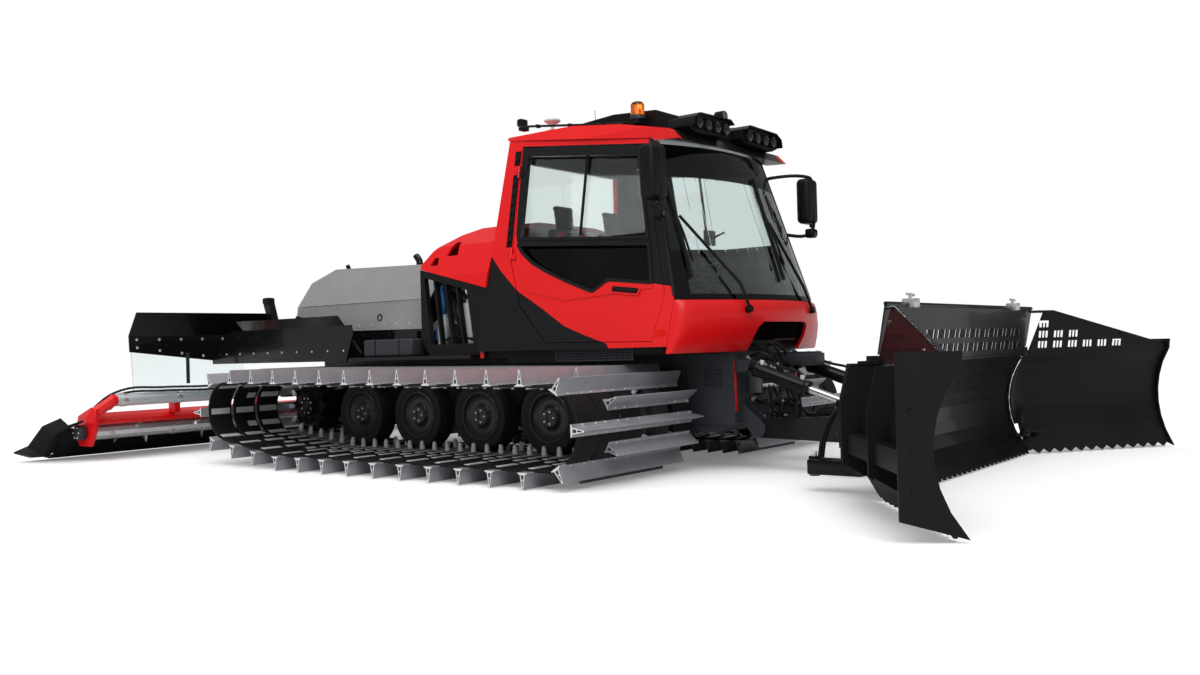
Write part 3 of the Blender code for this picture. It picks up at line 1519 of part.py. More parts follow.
def toothed_edge(y0, y1):
    count = max(1, round((y1 - y0) / TOOTH_PITCH))
    pitch = (y1 - y0) / count
    outline = [(y1, BLADE_EDGE_Z), (y0, BLADE_EDGE_Z)]
    for k in range(count):
        outline.append((y0 + pitch * (k + 0.08), BLADE_FOOT_Z + TOOTH_DEPTH))
        outline.append((y0 + pitch * (k + 0.5), BLADE_FOOT_Z))
    outline.append((y1, BLADE_FOOT_Z + TOOTH_DEPTH))
    edge = plate(outline, "yz", (0, EDGE_THICKNESS))
    run = BLADE_EDGE_Z - BLADE_FOOT_Z
    foot_x = profile_x(BLADE_EDGE_Z) + EDGE_FORWARD
    shear = Matrix.Identity(4)
    shear[0][2] = -EDGE_FORWARD / run
    shear[0][3] = foot_x + EDGE_FORWARD / run * BLADE_FOOT_Z - EDGE_THICKNESS / 2
    return moved(edge, shear)


def guard_lean():
    shear = Matrix.Identity(4)
    shear[0][2] = GUARD_FORWARD
    middle = profile_x(BLADE_TOP_Z) - BLADE_WALL / 2
    shear[0][3] = middle - GUARD_FORWARD * BLADE_TOP_Z - GUARD_WALL / 2
    return shear


def leaning_guard(outline):
    return moved(plate(outline, "yz", (0, GUARD_WALL)), guard_lean())


def hole_grid(y0, y1, z0, z1, pitch_y, pitch_z, size_y, size_z, limit=None):
    """Cutters for the windows of a guard, leaning with it."""
    holes = []
    columns = int((y1 - y0) / pitch_y)
    rows = int((z1 - z0) / pitch_z)
    for r in range(rows):
        for c in range(columns):
            y = y0 + pitch_y * (c + 0.5)
            z = z0 + pitch_z * (r + 0.5)
            if limit and z + size_z > limit(y + size_y / 2):
                continue
            holes.append(box(
                (-GUARD_WALL, 2 * GUARD_WALL),
                (y - size_y / 2, y + size_y / 2),
                (z - size_z / 2, z + size_z / 2),
            ))
    return moved(loose_set(holes), guard_lean())


def rib(y, thickness, back=None):
    """An upright rib behind the mouldboard."""
    back_x = BLADE_BACK_X - BLADE_HINGE_X if back is None else back
    steps = 5
    front = []
    for k in range(steps + 1):
        z = BLADE_EDGE_Z + (BLADE_TOP_Z - BLADE_EDGE_Z) * k / steps
        front.append((profile_x(z) - BLADE_WALL / 2, z))
    outline = front + [(back_x + 0.06, BLADE_TOP_Z), (back_x, 0.62), (back_x, 0.26)]
    return plate(outline, "xz", (y - thickness / 2, y + thickness / 2))


def make_blade(mats):
    half = BLADE_HALF
    inset = 0.001
    back = BLADE_BACK_X - BLADE_HINGE_X
    pieces = [
        plate(mouldboard_outline(), "xz", (-half, half)),
        toothed_edge(-half + inset, half - inset),
        leaning_guard(
            (
                (-half + 2 * inset, BLADE_TOP_Z - 0.02),
                (half - 2 * inset, BLADE_TOP_Z - 0.02),
                (half - 2 * inset, GUARD_TOP_Z),
                (-half + 2 * inset, GUARD_TOP_Z),
            ),
        ),
        box((back + 0.004, back + 0.10), (-half + 0.003, half - 0.003), (0.32, 0.46)),
    ]
    for y in (-half + 0.012, -0.95, -0.46, 0.46, 0.95, half - 0.012):
        pieces.append(rib(y, RIB_THICKNESS))
    ears_of_hinges = [hinge_ear(side, z) for side in (-1, 1) for z in HINGE_EARS]
    boss_length = BLADE_BACK_X - CARRIER_PLATE_X[1] - PIN_GAP + 0.02
    pieces.append(cylinder(
        (back - boss_length / 2 + 0.02, 0, TILT_Z), (1, 0, 0), TILT_RADIUS, boss_length, 20
    ))
    pieces.append(box((back - 0.003, back + 0.05), (-0.18, 0.18), (0.28, 0.60)))
    windows = hole_grid(
        -half + 0.08, half - 0.08, BLADE_TOP_Z + 0.02, GUARD_TOP_Z - 0.05, 0.21, 0.10, 0.16, 0.06
    )
    notches = [notch for side in (-1, 1) for notch in hinge_notches(side * (half + WING_OFFSET))]
    blade = fused([cut(fused(pieces), [windows, *notches]), *ears_of_hinges])
    moved(blade, Matrix.Translation((BLADE_HINGE_X, 0, 0)))
    return named(blade, "blade", mats["blade_steel"])


# z of the centre section's ears at the wing hinges: low, high
HINGE_EARS = ((0.155, 0.18), (BLADE_TOP_Z - 0.03, BLADE_TOP_Z - 0.005))


def hinge_ear(side, z):
    """A horizontal ear from the centre section's end to the hinge line."""
    middle = side * (BLADE_HALF + WING_OFFSET)
    steps = 9
    outline = []
    for k in range(steps + 1):
        angle = math.radians(-90 + 265 * k / steps)
        outline.append((
            KNUCKLE_RADIUS * math.cos(angle), middle + side * KNUCKLE_RADIUS * math.sin(angle)
        ))
    outline += [
        (-0.16, side * (BLADE_HALF - 0.02)),
        (-0.12, side * (BLADE_HALF - 0.12)),
        (0.0, side * (BLADE_HALF - 0.10)),
    ]
    return plate(outline, "xy", z)


def hinge_notches(y):
    """Cutters that free the ears and knuckles of the hinge on the line at y."""
    notches = []
    for low, high in HINGE_EARS:
        foot = low - SWING_GAP
        head = high + PIN_GAP + KNUCKLE_HEIGHT + SWING_GAP
        notches.append(cylinder(
            (0, y, (foot + head) / 2), (0, 0, 1), KNUCKLE_RADIUS + SWING_GAP, head - foot, 18
        ))
    return notches


def wing_limit(u):
    share = u / WING_LENGTH
    return GUARD_TOP_Z - 0.03 + share * (BLADE_TOP_Z + 0.03 - GUARD_TOP_Z + 0.03)


def wing_end_plate():
    """The plate that closes the outer end of the left wing."""
    back = BLADE_BACK_X - BLADE_HINGE_X
    steps = 6
    end = [(profile_x(BLADE_EDGE_Z) + EDGE_FORWARD + 0.05, BLADE_FOOT_Z + 0.003)]
    for k in range(steps + 1):
        z = BLADE_EDGE_Z + (BLADE_TOP_Z - BLADE_EDGE_Z) * k / steps
        end.append((profile_x(z) + 0.035, z))
    end.append((end[-1][0] + 0.01, WING_END_TOP_Z))
    end.append((back - 0.02, WING_END_TOP_Z))
    end.append((back - 0.02, BLADE_FOOT_Z + 0.10))
    return plate(end, "xz", (WING_LENGTH - PLATE / 2, WING_LENGTH + PLATE / 2))


def make_wing():
    """The left wing, built straight out along +Y from its hinge, then folded."""
    start = -0.05
    inset = 0.0012
    back = BLADE_BACK_X - BLADE_HINGE_X
    guard = leaning_guard(
        (
            (start - 2 * inset, BLADE_TOP_Z - 0.02),
            (WING_LENGTH - 2 * inset, BLADE_TOP_Z - 0.02),
            (WING_LENGTH - 2 * inset, BLADE_TOP_Z + 0.031),
            (0.25, GUARD_TOP_Z - 0.03),
            (start - 2 * inset, GUARD_TOP_Z - 0.03),
        ),
    )
    windows = hole_grid(
        0.10, WING_LENGTH - 0.15, BLADE_TOP_Z + 0.02, GUARD_TOP_Z - 0.06,
        0.145, 0.085, 0.09, 0.055, wing_limit,
    )
    pieces = [
        wing_end_plate(),
        plate(mouldboard_outline(), "xz", (start, WING_LENGTH)),
        toothed_edge(start - inset, WING_LENGTH - PLATE),
        box((back + 0.03, back + 0.11), (0.10, WING_LENGTH - 3 * inset), (0.32, 0.44)),
        rib(0.14, RIB_THICKNESS),
        rib(0.75, RIB_THICKNESS),
        cut(guard, [windows]),
    ]
    wing = fused(pieces)
    knife = box((-0.6, 0.6), (-0.5, 0.004), (-0.2, 1.6))
    moved(knife, Matrix.Rotation(WING_REST + WING_FOLD, 4, "Z"))
    straight = box((-0.6, 0.6), (-0.5, 0.0047), (-0.21, 1.61))
    return cut(wing, [knife, straight, *hinge_notches(0)])


def wing_with_knuckles(wing):
    knuckles = []
    for low, high in HINGE_EARS:
        top = high + PIN_GAP
        middle = (0, 0, top + KNUCKLE_HEIGHT / 2)
        knuckles.append(cylinder(middle, (0, 0, 1), KNUCKLE_RADIUS, KNUCKLE_HEIGHT, 14))
        knuckles.append(plate(
            ((-0.02, 0.0), (0.02, 0.0), (0.0, 0.16), (-0.13, 0.16), (-0.13, 0.13)),
            "xy", (top + 0.002, top + 0.022),
        ))
    return fused([wing, *knuckles])


def make_wings(mats):
    wing = wing_with_knuckles(make_wing())
    hinge = Matrix.Translation((BLADE_HINGE_X, BLADE_HALF + WING_OFFSET, 0))
    turn = hinge @ Matrix.Rotation(-WING_REST, 4, "Z")
    moved(wing, turn)
    right = named(mirrored(wing, "wing"), "blade_wing_right", mats["blade_steel"])
    left = named(wing, "blade_wing_left", mats["blade_steel"])
    return right, left


def make_front(mats):
    make_push_frame(mats)
    make_lift_cylinders(mats)
    carrier = make_carrier(mats)
    blade = make_blade(mats)
    right, left = make_wings(mats)
    frame = bpy.data.objects["push_frame"]
    lift = pivot("blade_lift", (PUSH_PIN[0], 0, PUSH_PIN[1]), [frame])
    swing = pivot("blade_swing", (SWING_X, 0, 0.36), [carrier])
    tilt = pivot("blade_tilt", (BLADE_BACK_X, 0, TILT_Z), [blade])
    hinge_y = BLADE_HALF + WING_OFFSET
    wings = [
        pivot("wing_hinge_right", (BLADE_HINGE_X, -hinge_y, 0.5), [right]),
        pivot("wing_hinge_left", (BLADE_HINGE_X, hinge_y, 0.5), [left]),
    ]
    for child, parent in ((swing, lift), (tilt, swing), (wings[0], tilt), (wings[1], tilt)):
        child.parent = parent
        child.matrix_parent_inverse = parent.matrix_world.inverted()


# Tiller

def ring_outline(radius, wall, start, end, steps=10):
    outer = []
    inner = []
    for k in range(steps + 1):
        angle = math.radians(start + (end - start) * k / steps)
        outer.append((ROTOR_X + radius * math.cos(angle), ROTOR_Z + radius * math.sin(angle)))
        within = radius - wall
        inner.append((ROTOR_X + within * math.cos(angle), ROTOR_Z + within * math.sin(angle)))
    return outer + inner[::-1]


def make_tiller_frame(mats):
    pieces = []
    end_x = TILLER_TILT_X + 0.03
    for side in (-1, 1):
        ys = sorted(side * y for y in TILLER_ARM_Y)
        x, z = TILLER_PIN
        outline = []
        for k in range(9):
            angle = -math.pi / 2 + math.pi * k / 8
            round_x = x + TILLER_EYE_RADIUS * math.cos(angle)
            outline.append((round_x, z + TILLER_EYE_RADIUS * math.sin(angle)))
        outline += [(end_x, TILLER_TILT_Z + 0.05), (end_x, TILLER_TILT_Z - 0.05)]
        pieces.append(plate(outline, "xz", ys))
    beam = box(
        (end_x - 0.03, end_x + 0.05), (-0.42, 0.42),
        (TILLER_TILT_Z - TILLER_BEAM_HALF, TILLER_TILT_Z + TILLER_BEAM_HALF),
    )
    return named(fused([beam, *pieces]), "tiller_frame", mats["black_steel"])


def make_tiller_housing(mats):
    beam = tube(
        (
            (TUBE_X - 0.10, -2.38, 0.40),
            (TUBE_X - 0.04, -2.34, 0.50),
            (TUBE_X, -2.20, TUBE_Z),
            (TUBE_X, 2.20, TUBE_Z),
            (TUBE_X - 0.04, 2.34, 0.50),
            (TUBE_X - 0.10, 2.38, 0.40),
        ),
        TUBE_RADIUS,
    )
    arc = ring_outline(HOUSING_RADIUS, HOUSING_WALL, *COVER_ARC)
    cover = plate(arc, "xz", (-HOUSING_END_Y, HOUSING_END_Y))
    pieces = [cover]
    for side in (-1, 1):
        ys = sorted((side * (HOUSING_END_Y - END_LAP), side * (HOUSING_END_Y + END_PLATE)))
        pieces.append(plate(
            (
                (ROTOR_X - 0.19, ROTOR_Z - 0.02),
                (ROTOR_X - 0.10, ROTOR_Z - 0.14),
                (ROTOR_X + 0.12, ROTOR_Z - 0.14),
                (ROTOR_X + 0.22, ROTOR_Z + 0.02),
                (TUBE_X + 0.02, TUBE_Z - 0.08),
                (TUBE_X - 0.08, TUBE_Z - 0.06),
                (ROTOR_X - 0.12, ROTOR_Z + 0.16),
            ),
            "xz", ys,
        ))
    for y in (-1.5, -0.5, 0.5, 1.5):
        pieces.append(box((TUBE_X - 0.12, TUBE_X), (y - 0.03, y + 0.03), (0.44, TUBE_Z)))
    boss_start = TILLER_TILT_X - PIN_GAP
    boss = cylinder(
        ((boss_start + TUBE_X) / 2, 0, TILLER_TILT_Z), (1, 0, 0), 0.05, boss_start - TUBE_X, 16
    )
    return named(fused([beam, *pieces, boss]), "tiller_housing", mats["red_paint"])


def make_rotor(mats):
    shaft_half = HOUSING_END_Y - END_LAP - PIN_GAP
    shaft = cylinder((ROTOR_X, 0, ROTOR_Z), (0, 1, 0), ROTOR_RADIUS, 2 * shaft_half, 12)
    tines = []
    pitch = (2 * ROTOR_HALF - 0.1) / TINE_COUNT
    for k in range(TINE_COUNT):
        y = -ROTOR_HALF + 0.05 + pitch * (k + 0.5)
        bpy.ops.mesh.primitive_cone_add(
            vertices=3, radius1=TINE_BASE, radius2=0.006, depth=ROTOR_TIP - ROTOR_RADIUS + 0.012
        )
        tine = bpy.context.object
        reach = (ROTOR_TIP + ROTOR_RADIUS - 0.012) / 2
        tine.matrix_world = (
            Matrix.Translation((ROTOR_X, y, ROTOR_Z))
            @ Matrix.Rotation(TINE_TURN * k, 4, "Y")
            @ Matrix.Translation((0, 0, reach))
        )
        tines.append(baked(tine))
    rotor = combined(shaft, [loose_set(tines)], "UNION")
    return named(rotor, "tiller_rotor", mats["bright_steel"])


def make_finisher(mats):
    front = ROTOR_X + HOUSING_RADIUS * math.cos(math.radians(COVER_ARC[1])) - SEAT_GAP
    top = [(front, 0.33), (-4.42, 0.20), (-4.52, 0.085), (-4.62, 0.045), (MAT_REAR, 0.05)]
    low = [(MAT_REAR, 0.03), (-4.62, 0.02), (-4.53, 0.055), (-4.43, 0.165), (front, 0.30)]
    mat = plate(top + low, "xz", (-MAT_HALF, MAT_HALF))
    pieces = [mat]
    for k in range(MAT_RIDGES):
        y = -MAT_HALF + 0.2 + (2 * MAT_HALF - 0.4) * k / (MAT_RIDGES - 1)
        pieces.append(plate(
            ((-4.43, 0.18), (-4.53, 0.07), (-4.72, 0.04), (-4.72, 0.075), (-4.55, 0.11)),
            "xz", (y - 0.02, y + 0.02),
        ))
    for side in (-1, 1):
        rows = [
            [(x, side * (MAT_HALF + out), z) for x, out, z in row] for row in MAT_WING
        ]
        pieces.append(surface(rows, MAT_WING_WALL * side))
    return named(fused(pieces), "finisher", mats["black_rubber"])


def make_tiller(mats):
    frame = make_tiller_frame(mats)
    housing = make_tiller_housing(mats)
    rotor = make_rotor(mats)
    finisher = make_finisher(mats)
    lift = pivot("tiller_lift", (TILLER_PIN[0], 0, TILLER_PIN[1]), [frame])
    tilt = pivot("tiller_tilt", (TILLER_TILT_X, 0, TILLER_TILT_Z), [housing, finisher])
    spin = pivot("rotor_spin", (ROTOR_X, 0, ROTOR_Z), [rotor])
    for child, parent in ((tilt, lift), (spin, tilt)):
        child.parent = parent
        child.matrix_parent_inverse = parent.matrix_world.inverted()


# name, colour, roughness, metallic, alpha
MATERIALS = (
    ("red_paint", (0.80, 0.01, 0.01), 0.25, 0.0, 1.0),
    ("black_plastic", (0.02, 0.02, 0.02), 0.45, 0.0, 1.0),
    ("black_steel", (0.018, 0.018, 0.02), 0.35, 0.2, 1.0),
    ("grey_steel", (0.09, 0.10, 0.12), 0.45, 0.3, 1.0),
    ("blade_steel", (0.02, 0.02, 0.022), 0.3, 0.5, 1.0),
    ("track", (0.22, 0.22, 0.23), 0.5, 0.6, 1.0),
    ("tyre", (0.04, 0.04, 0.045), 0.7, 0.0, 1.0),
    ("chequer_plate", (0.62, 0.62, 0.62), 0.35, 0.9, 1.0),
    ("engine_grey", (0.10, 0.10, 0.11), 0.5, 0.4, 1.0),
    ("tinted_glass", (0.05, 0.07, 0.07), 0.05, 0.0, 0.35),
    ("clear_sheet", (0.75, 0.85, 0.86), 0.1, 0.0, 0.3),
    ("seat_cloth", (0.03, 0.03, 0.03), 0.8, 0.0, 1.0),
    ("orange_lens", (0.9, 0.16, 0.02), 0.15, 0.0, 1.0),
    ("chrome", (0.75, 0.75, 0.76), 0.12, 1.0, 1.0),
    ("bright_steel", (0.55, 0.55, 0.56), 0.3, 0.9, 1.0),
    ("black_rubber", (0.015, 0.015, 0.015), 0.6, 0.0, 1.0),
    ("white_plastic", (0.8, 0.8, 0.8), 0.35, 0.0, 1.0),
)


def main():
    clear_scene()
    mats = {row[0]: material(*row) for row in MATERIALS}
    make_track(mats)
    make_wheels(mats)
    make_sprocket(mats)
    make_chassis(mats)
    make_deck(mats)
    make_sheets(mats)
    make_engine(mats)
    make_hood(mats)
    make_shroud(mats)
    make_engine_covers(mats)
    make_cab_floor(mats)
    make_rear_wall(mats)
    make_cab_sides(mats)
    make_doors(mats)
    make_roof(mats)
    make_windshield(mats)
    make_nose(mats)
    seat(0.28, mats, "seat_driver")
    seat(-0.42, mats, "seat_passenger")
    make_dashboard(mats)
    make_roof_gear(mats)
    make_mirror(mats)
    make_wipers(mats)
    make_front(mats)
    make_tiller(mats)


main()
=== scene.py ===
"""Looks of a tracked snow groomer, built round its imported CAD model.

Metres, +X forwards, +Y to the vehicle's left, +Z up, ground at z = 0.
"""

import math

import bpy
from bpy.props import FloatProperty, FloatVectorProperty, IntProperty, PointerProperty
from mathutils import Matrix, Vector


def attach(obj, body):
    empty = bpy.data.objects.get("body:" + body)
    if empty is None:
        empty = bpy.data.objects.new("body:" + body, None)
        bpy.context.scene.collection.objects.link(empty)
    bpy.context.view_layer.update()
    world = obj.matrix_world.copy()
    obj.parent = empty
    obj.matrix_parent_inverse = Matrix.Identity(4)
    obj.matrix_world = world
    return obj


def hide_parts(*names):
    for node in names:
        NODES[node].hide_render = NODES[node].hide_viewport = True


bl_info = {
    "name": "Snow groomer dressing",
    "version": (1, 0, 0),
    "blender": (4, 5, 0),
    "location": "3D View > Sidebar > Groomer",
    "description": "Builds the visible pieces and finishes of a tracked snow groomer",
    "category": "Object",
}

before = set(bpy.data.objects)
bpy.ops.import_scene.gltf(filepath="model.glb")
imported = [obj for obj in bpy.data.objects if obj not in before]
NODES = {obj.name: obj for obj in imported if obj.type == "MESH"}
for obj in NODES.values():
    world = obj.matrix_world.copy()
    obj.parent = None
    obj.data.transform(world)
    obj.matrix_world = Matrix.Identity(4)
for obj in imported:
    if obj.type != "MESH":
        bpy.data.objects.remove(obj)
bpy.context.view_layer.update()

# Sizes shared with the solids
WHEEL_PLACES = tuple(1.63 - 0.775 * i for i in range(5))
WHEEL_Z = 0.4303
WHEEL_RADIUS = 0.302
WHEEL_INNER = 0.89
SPROCKET = (-2.24, 0.50)
SPROCKET_RADIUS = 0.262
BELT_INSIDE = 0.0003
BELT_OUTSIDE = 0.0203
BAR_SINK = 0.008
BAR_COUNT = 60
BAR_INNER = 0.605
BAR_LONG = 2.10
BAR_SHORT = 1.66
CAB_BASE_Y = 1.165
CAB_FLOOR_Z = 0.985
CAB_LEAN = math.tan(math.radians(10.6))


def side_y(z):
    """How far the cab's side stands from the middle plane at a height."""
    return CAB_BASE_Y - (z - CAB_FLOOR_Z) * CAB_LEAN


# Modelling steps

def deselect():
    bpy.ops.object.select_all(action="DESELECT")


def active(obj):
    deselect()
    obj.select_set(True)
    bpy.context.view_layer.objects.active = obj
    return obj


def applied(obj):
    active(obj)
    bpy.ops.object.transform_apply(location=True, rotation=True, scale=True)
    return obj


def modified(obj, kind, **values):
    active(obj)
    step = obj.modifiers.new(kind.lower(), kind)
    for key, value in values.items():
        setattr(step, key, value)
    bpy.ops.object.modifier_apply(modifier=step.name)
    return obj


def bevelled(obj, width, segments=2, angle=30):
    return modified(
        obj, "BEVEL", width=width, segments=segments, limit_method="ANGLE",
        angle_limit=math.radians(angle), use_clamp_overlap=True,
    )


def linked(name, data):
    """A new object in the scene."""
    obj = bpy.data.objects.new(name, data)
    bpy.context.scene.collection.objects.link(obj)
    return obj


def block(x, y, z, bevel=0.0, segments=2):
    deselect()
    middle = [(low + high) / 2 for low, high in (x, y, z)]
    size = [abs(high - low) for low, high in (x, y, z)]
    bpy.ops.mesh.primitive_cube_add(size=1, location=middle, scale=size)
    obj = applied(bpy.context.object)
    return bevelled(obj, bevel, segments) if bevel else obj


def towards(axis):
    return Vector((0, 0, 1)).rotation_difference(Vector(axis)).to_matrix().to_4x4()


def moved(obj, matrix):
    obj.data.transform(matrix)
    obj.data.update()
    return obj


def rod(start, end, radius, sides=16, bevel=0.0):
    start, end = Vector(start), Vector(end)
    deselect()
    bpy.ops.mesh.primitive_cylinder_add(vertices=sides, radius=radius, depth=(end - start).length)
    obj = applied(bpy.context.object)
    if bevel:
        bevelled(obj, bevel, 2, 60)
    return moved(obj, Matrix.Translation((start + end) / 2) @ towards(end - start))


def cleaned(obj, recalculate=True):
    """Merge the doubles and turn every face outwards."""
    active(obj)
    bpy.ops.object.mode_set(mode="EDIT")
    bpy.ops.mesh.select_all(action="SELECT")
    bpy.ops.mesh.remove_doubles(threshold=0.00005)
    if recalculate:
        bpy.ops.mesh.normals_make_consistent(inside=False)
    bpy.ops.object.mode_set(mode="OBJECT")
    return obj


def lathe(profile, centre, axis, steps=32, closed=False):
    """Turn a profile of (radius, height) about an axis, by the spin tool."""
    mesh = bpy.data.meshes.new("turned")
    edges = [(i, i + 1) for i in range(len(profile) - 1)]
    if closed:
        edges.append((len(profile) - 1, 0))
    mesh.from_pydata([(r, 0, h) for r, h in profile], edges, [])
    obj = active(linked("turned", mesh))
    bpy.ops.object.mode_set(mode="EDIT")
    bpy.ops.mesh.select_all(action="SELECT")
    bpy.ops.mesh.spin(steps=steps, angle=2 * math.pi, center=(0, 0, 0), axis=(0, 0, 1))
    bpy.ops.object.mode_set(mode="OBJECT")
    cleaned(obj)
    return moved(obj, Matrix.Translation(centre) @ towards(axis))


STANDING = {
    "xz": Matrix(((1, 0, 0, 0), (0, 0, -1, 0), (0, 1, 0, 0), (0, 0, 0, 1))),
    "yz": Matrix(((0, 0, 1, 0), (1, 0, 0, 0), (0, 1, 0, 0), (0, 0, 0, 1))),
}


def rectangle(left, right, low, high):
    return (left, low), (right, low), (right, high), (left, high)


def panel(outline, plane, span, holes=(), bevel=0.0):
    """A flat outline with its holes, extruded between the two values of span."""
    curve = bpy.data.curves.new("panel", "CURVE")
    curve.dimensions = "2D"
    curve.fill_mode = "BOTH"
    curve.extrude = abs(span[1] - span[0]) / 2
    for points in (outline, *holes):
        spline = curve.splines.new("POLY")
        spline.points.add(len(points) - 1)
        for point, (u, v) in zip(spline.points, points):
            point.co = (u, v, 0, 1)
        spline.use_cyclic_u = True
    active(linked("panel", curve))
    bpy.ops.object.convert(target="MESH")
    obj = bpy.context.object
    middle = sum(span) / 2
    shift = {"xz": (0, middle, 0), "yz": (middle, 0, 0)}[plane]
    moved(obj, Matrix.Translation(shift) @ STANDING[plane])
    cleaned(obj)
    return bevelled(obj, bevel, 1) if bevel else obj


def hose(points, radius, resolution=3, smooth=True):
    """A round tube through points, by a curve with a bevel."""
    curve = bpy.data.curves.new("hose", "CURVE")
    curve.dimensions = "3D"
    curve.bevel_depth = radius
    curve.bevel_resolution = resolution
    curve.use_fill_caps = True
    curve.resolution_u = 6
    if smooth:
        spline = curve.splines.new("BEZIER")
        spline.bezier_points.add(len(points) - 1)
        for point, place in zip(spline.bezier_points, points):
            point.co = place
            point.handle_left_type = point.handle_right_type = "AUTO"
    else:
        spline = curve.splines.new("POLY")
        spline.points.add(len(points) - 1)
        for point, place in zip(spline.points, points):
            point.co = (*place, 1)
    active(linked("hose", curve))
    bpy.ops.object.convert(target="MESH")
    return cleaned(bpy.context.object)


def sheet_of(rows, thickness, offset=-1):
    """A curved plate through rows of points."""
    count = len(rows[0])
    mesh = bpy.data.meshes.new("plate")
    faces = []
    for r in range(len(rows) - 1):
        for c in range(count - 1):
            first = r * count + c
            faces.append((first, first + 1, first + count + 1, first + count))
    mesh.from_pydata([point for row in rows for point in row], [], faces)
    obj = cleaned(linked("plate", mesh), recalculate=False)
    return modified(obj, "SOLIDIFY", thickness=thickness, offset=offset, use_even_offset=True)


def copied(obj, matrix):
    copy = obj.copy()
    copy.data = obj.data.copy()
    bpy.context.scene.collection.objects.link(copy)
    return moved(copy, matrix)


def joined(pieces):
    deselect()
    for piece in pieces:
        piece.select_set(True)
    bpy.context.view_layer.objects.active = pieces[0]
    if len(pieces) > 1:
        bpy.ops.object.join()
    return bpy.context.object


def painted(obj, finish):
    obj.data.materials.clear()
    obj.data.materials.append(FINISHES[finish])
    return obj


def mirrored(obj):
    """A copy on the other side of the middle plane."""
    copy = copied(obj, Matrix.Scale(-1, 4, (0, 1, 0)))
    copy.data.flip_normals()
    return copy


def finished(obj, name, body, finish=None, nodes=(), angle=35):
    """Name a piece, smooth it by angle and let it ride on its body."""
    if finish:
        painted(obj, finish)
    obj.name = name
    obj.data.name = name
    active(obj)
    bpy.ops.object.shade_smooth_by_angle(angle=math.radians(angle))
    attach(obj, body)
    if nodes:
        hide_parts(*nodes)
    return obj


def both_sides(obj, name, body, finish=None, nodes=(), angle=35):
    """Finish a right-hand piece and its left-hand twin."""
    if finish:
        painted(obj, finish)
    twin = mirrored(obj)
    for piece, side in ((obj, "_right"), (twin, "_left")):
        where = body if body == "root" else body + side
        finished(piece, name + side, where, None, [n + side for n in nodes], angle)


# Finishes

def new_group(name, inputs, outputs):
    group = bpy.data.node_groups.new(name, "ShaderNodeTree")
    for title, value in inputs:
        socket = group.interface.new_socket(title, in_out="INPUT", socket_type="NodeSocketFloat")
        socket.default_value = value
    for title in outputs:
        group.interface.new_socket(title, in_out="OUTPUT", socket_type="NodeSocketFloat")
    return group, group.nodes.new("NodeGroupInput"), group.nodes.new("NodeGroupOutput")


def node(tree, kind, values=(), links=(), **settings):
    """Add a node, set its values by socket, and link what comes into it."""
    made = tree.nodes.new(kind)
    for key, value in settings.items():
        setattr(made, key, value)
    for socket, value in dict(values).items():
        made.inputs[socket].default_value = value
    for socket, source in dict(links).items():
        tree.links.new(source, made.inputs[socket])
    return made


def calc(tree, operation, *inputs):
    """Output of a maths node fed by sockets and numbers."""
    made = node(tree, "ShaderNodeMath", operation=operation)
    for socket, value in zip(made.inputs, inputs):
        if isinstance(value, (int, float)):
            socket.default_value = value
        else:
            tree.links.new(value, socket)
    return made.outputs[0]


def remapped(tree, value, low, high, to_low=0.0, to_high=1.0):
    made = node(tree, "ShaderNodeMapRange", {
        "From Min": low, "From Max": high, "To Min": to_low, "To Max": to_high}, {"Value": value})
    return made.outputs[0]


def blended(tree, factor, first, second):
    """Output of a colour mix; first and second are sockets or colours."""
    made = node(tree, "ShaderNodeMix", (), {0: factor}, data_type="RGBA")
    for place, colour in ((6, first), (7, second)):
        if isinstance(colour, tuple):
            made.inputs[place].default_value = (*colour, 1)
        else:
            tree.links.new(colour, made.inputs[place])
    return made.outputs[2]


def place_axes(tree):
    """X, Y and Z of the place on the piece."""
    place = node(tree, "ShaderNodeTexCoord").outputs["Object"]
    return node(tree, "ShaderNodeSeparateXYZ", (), {"Vector": place}).outputs


def surface_group():
    """Slow patches, fine grain and thin scratches over a surface."""
    group, ins, outs = new_group(
        "Surface life", (("Patch scale", 1.5), ("Grain scale", 300.0)),
        ("Patches", "Grain", "Scratches"),
    )
    place = node(group, "ShaderNodeTexCoord").outputs["Object"]
    patches = node(group, "ShaderNodeTexNoise", {"Detail": 3.0}, {
        "Vector": place, "Scale": ins.outputs["Patch scale"]})
    grain = node(group, "ShaderNodeTexNoise", {"Detail": 2.0}, {
        "Vector": place, "Scale": ins.outputs["Grain scale"]})
    long_way = node(group, "ShaderNodeMapping", {"Scale": (2.0, 40.0, 24.0)}, {"Vector": place})
    lines = node(group, "ShaderNodeTexNoise", {"Detail": 4.0, "Scale": 3.0}, {
        "Vector": long_way.outputs[0]})
    thin = remapped(group, lines.outputs["Fac"], 0.60, 0.74)
    group.links.new(patches.outputs["Fac"], outs.inputs["Patches"])
    group.links.new(grain.outputs["Fac"], outs.inputs["Grain"])
    group.links.new(thin, outs.inputs["Scratches"])
    return group


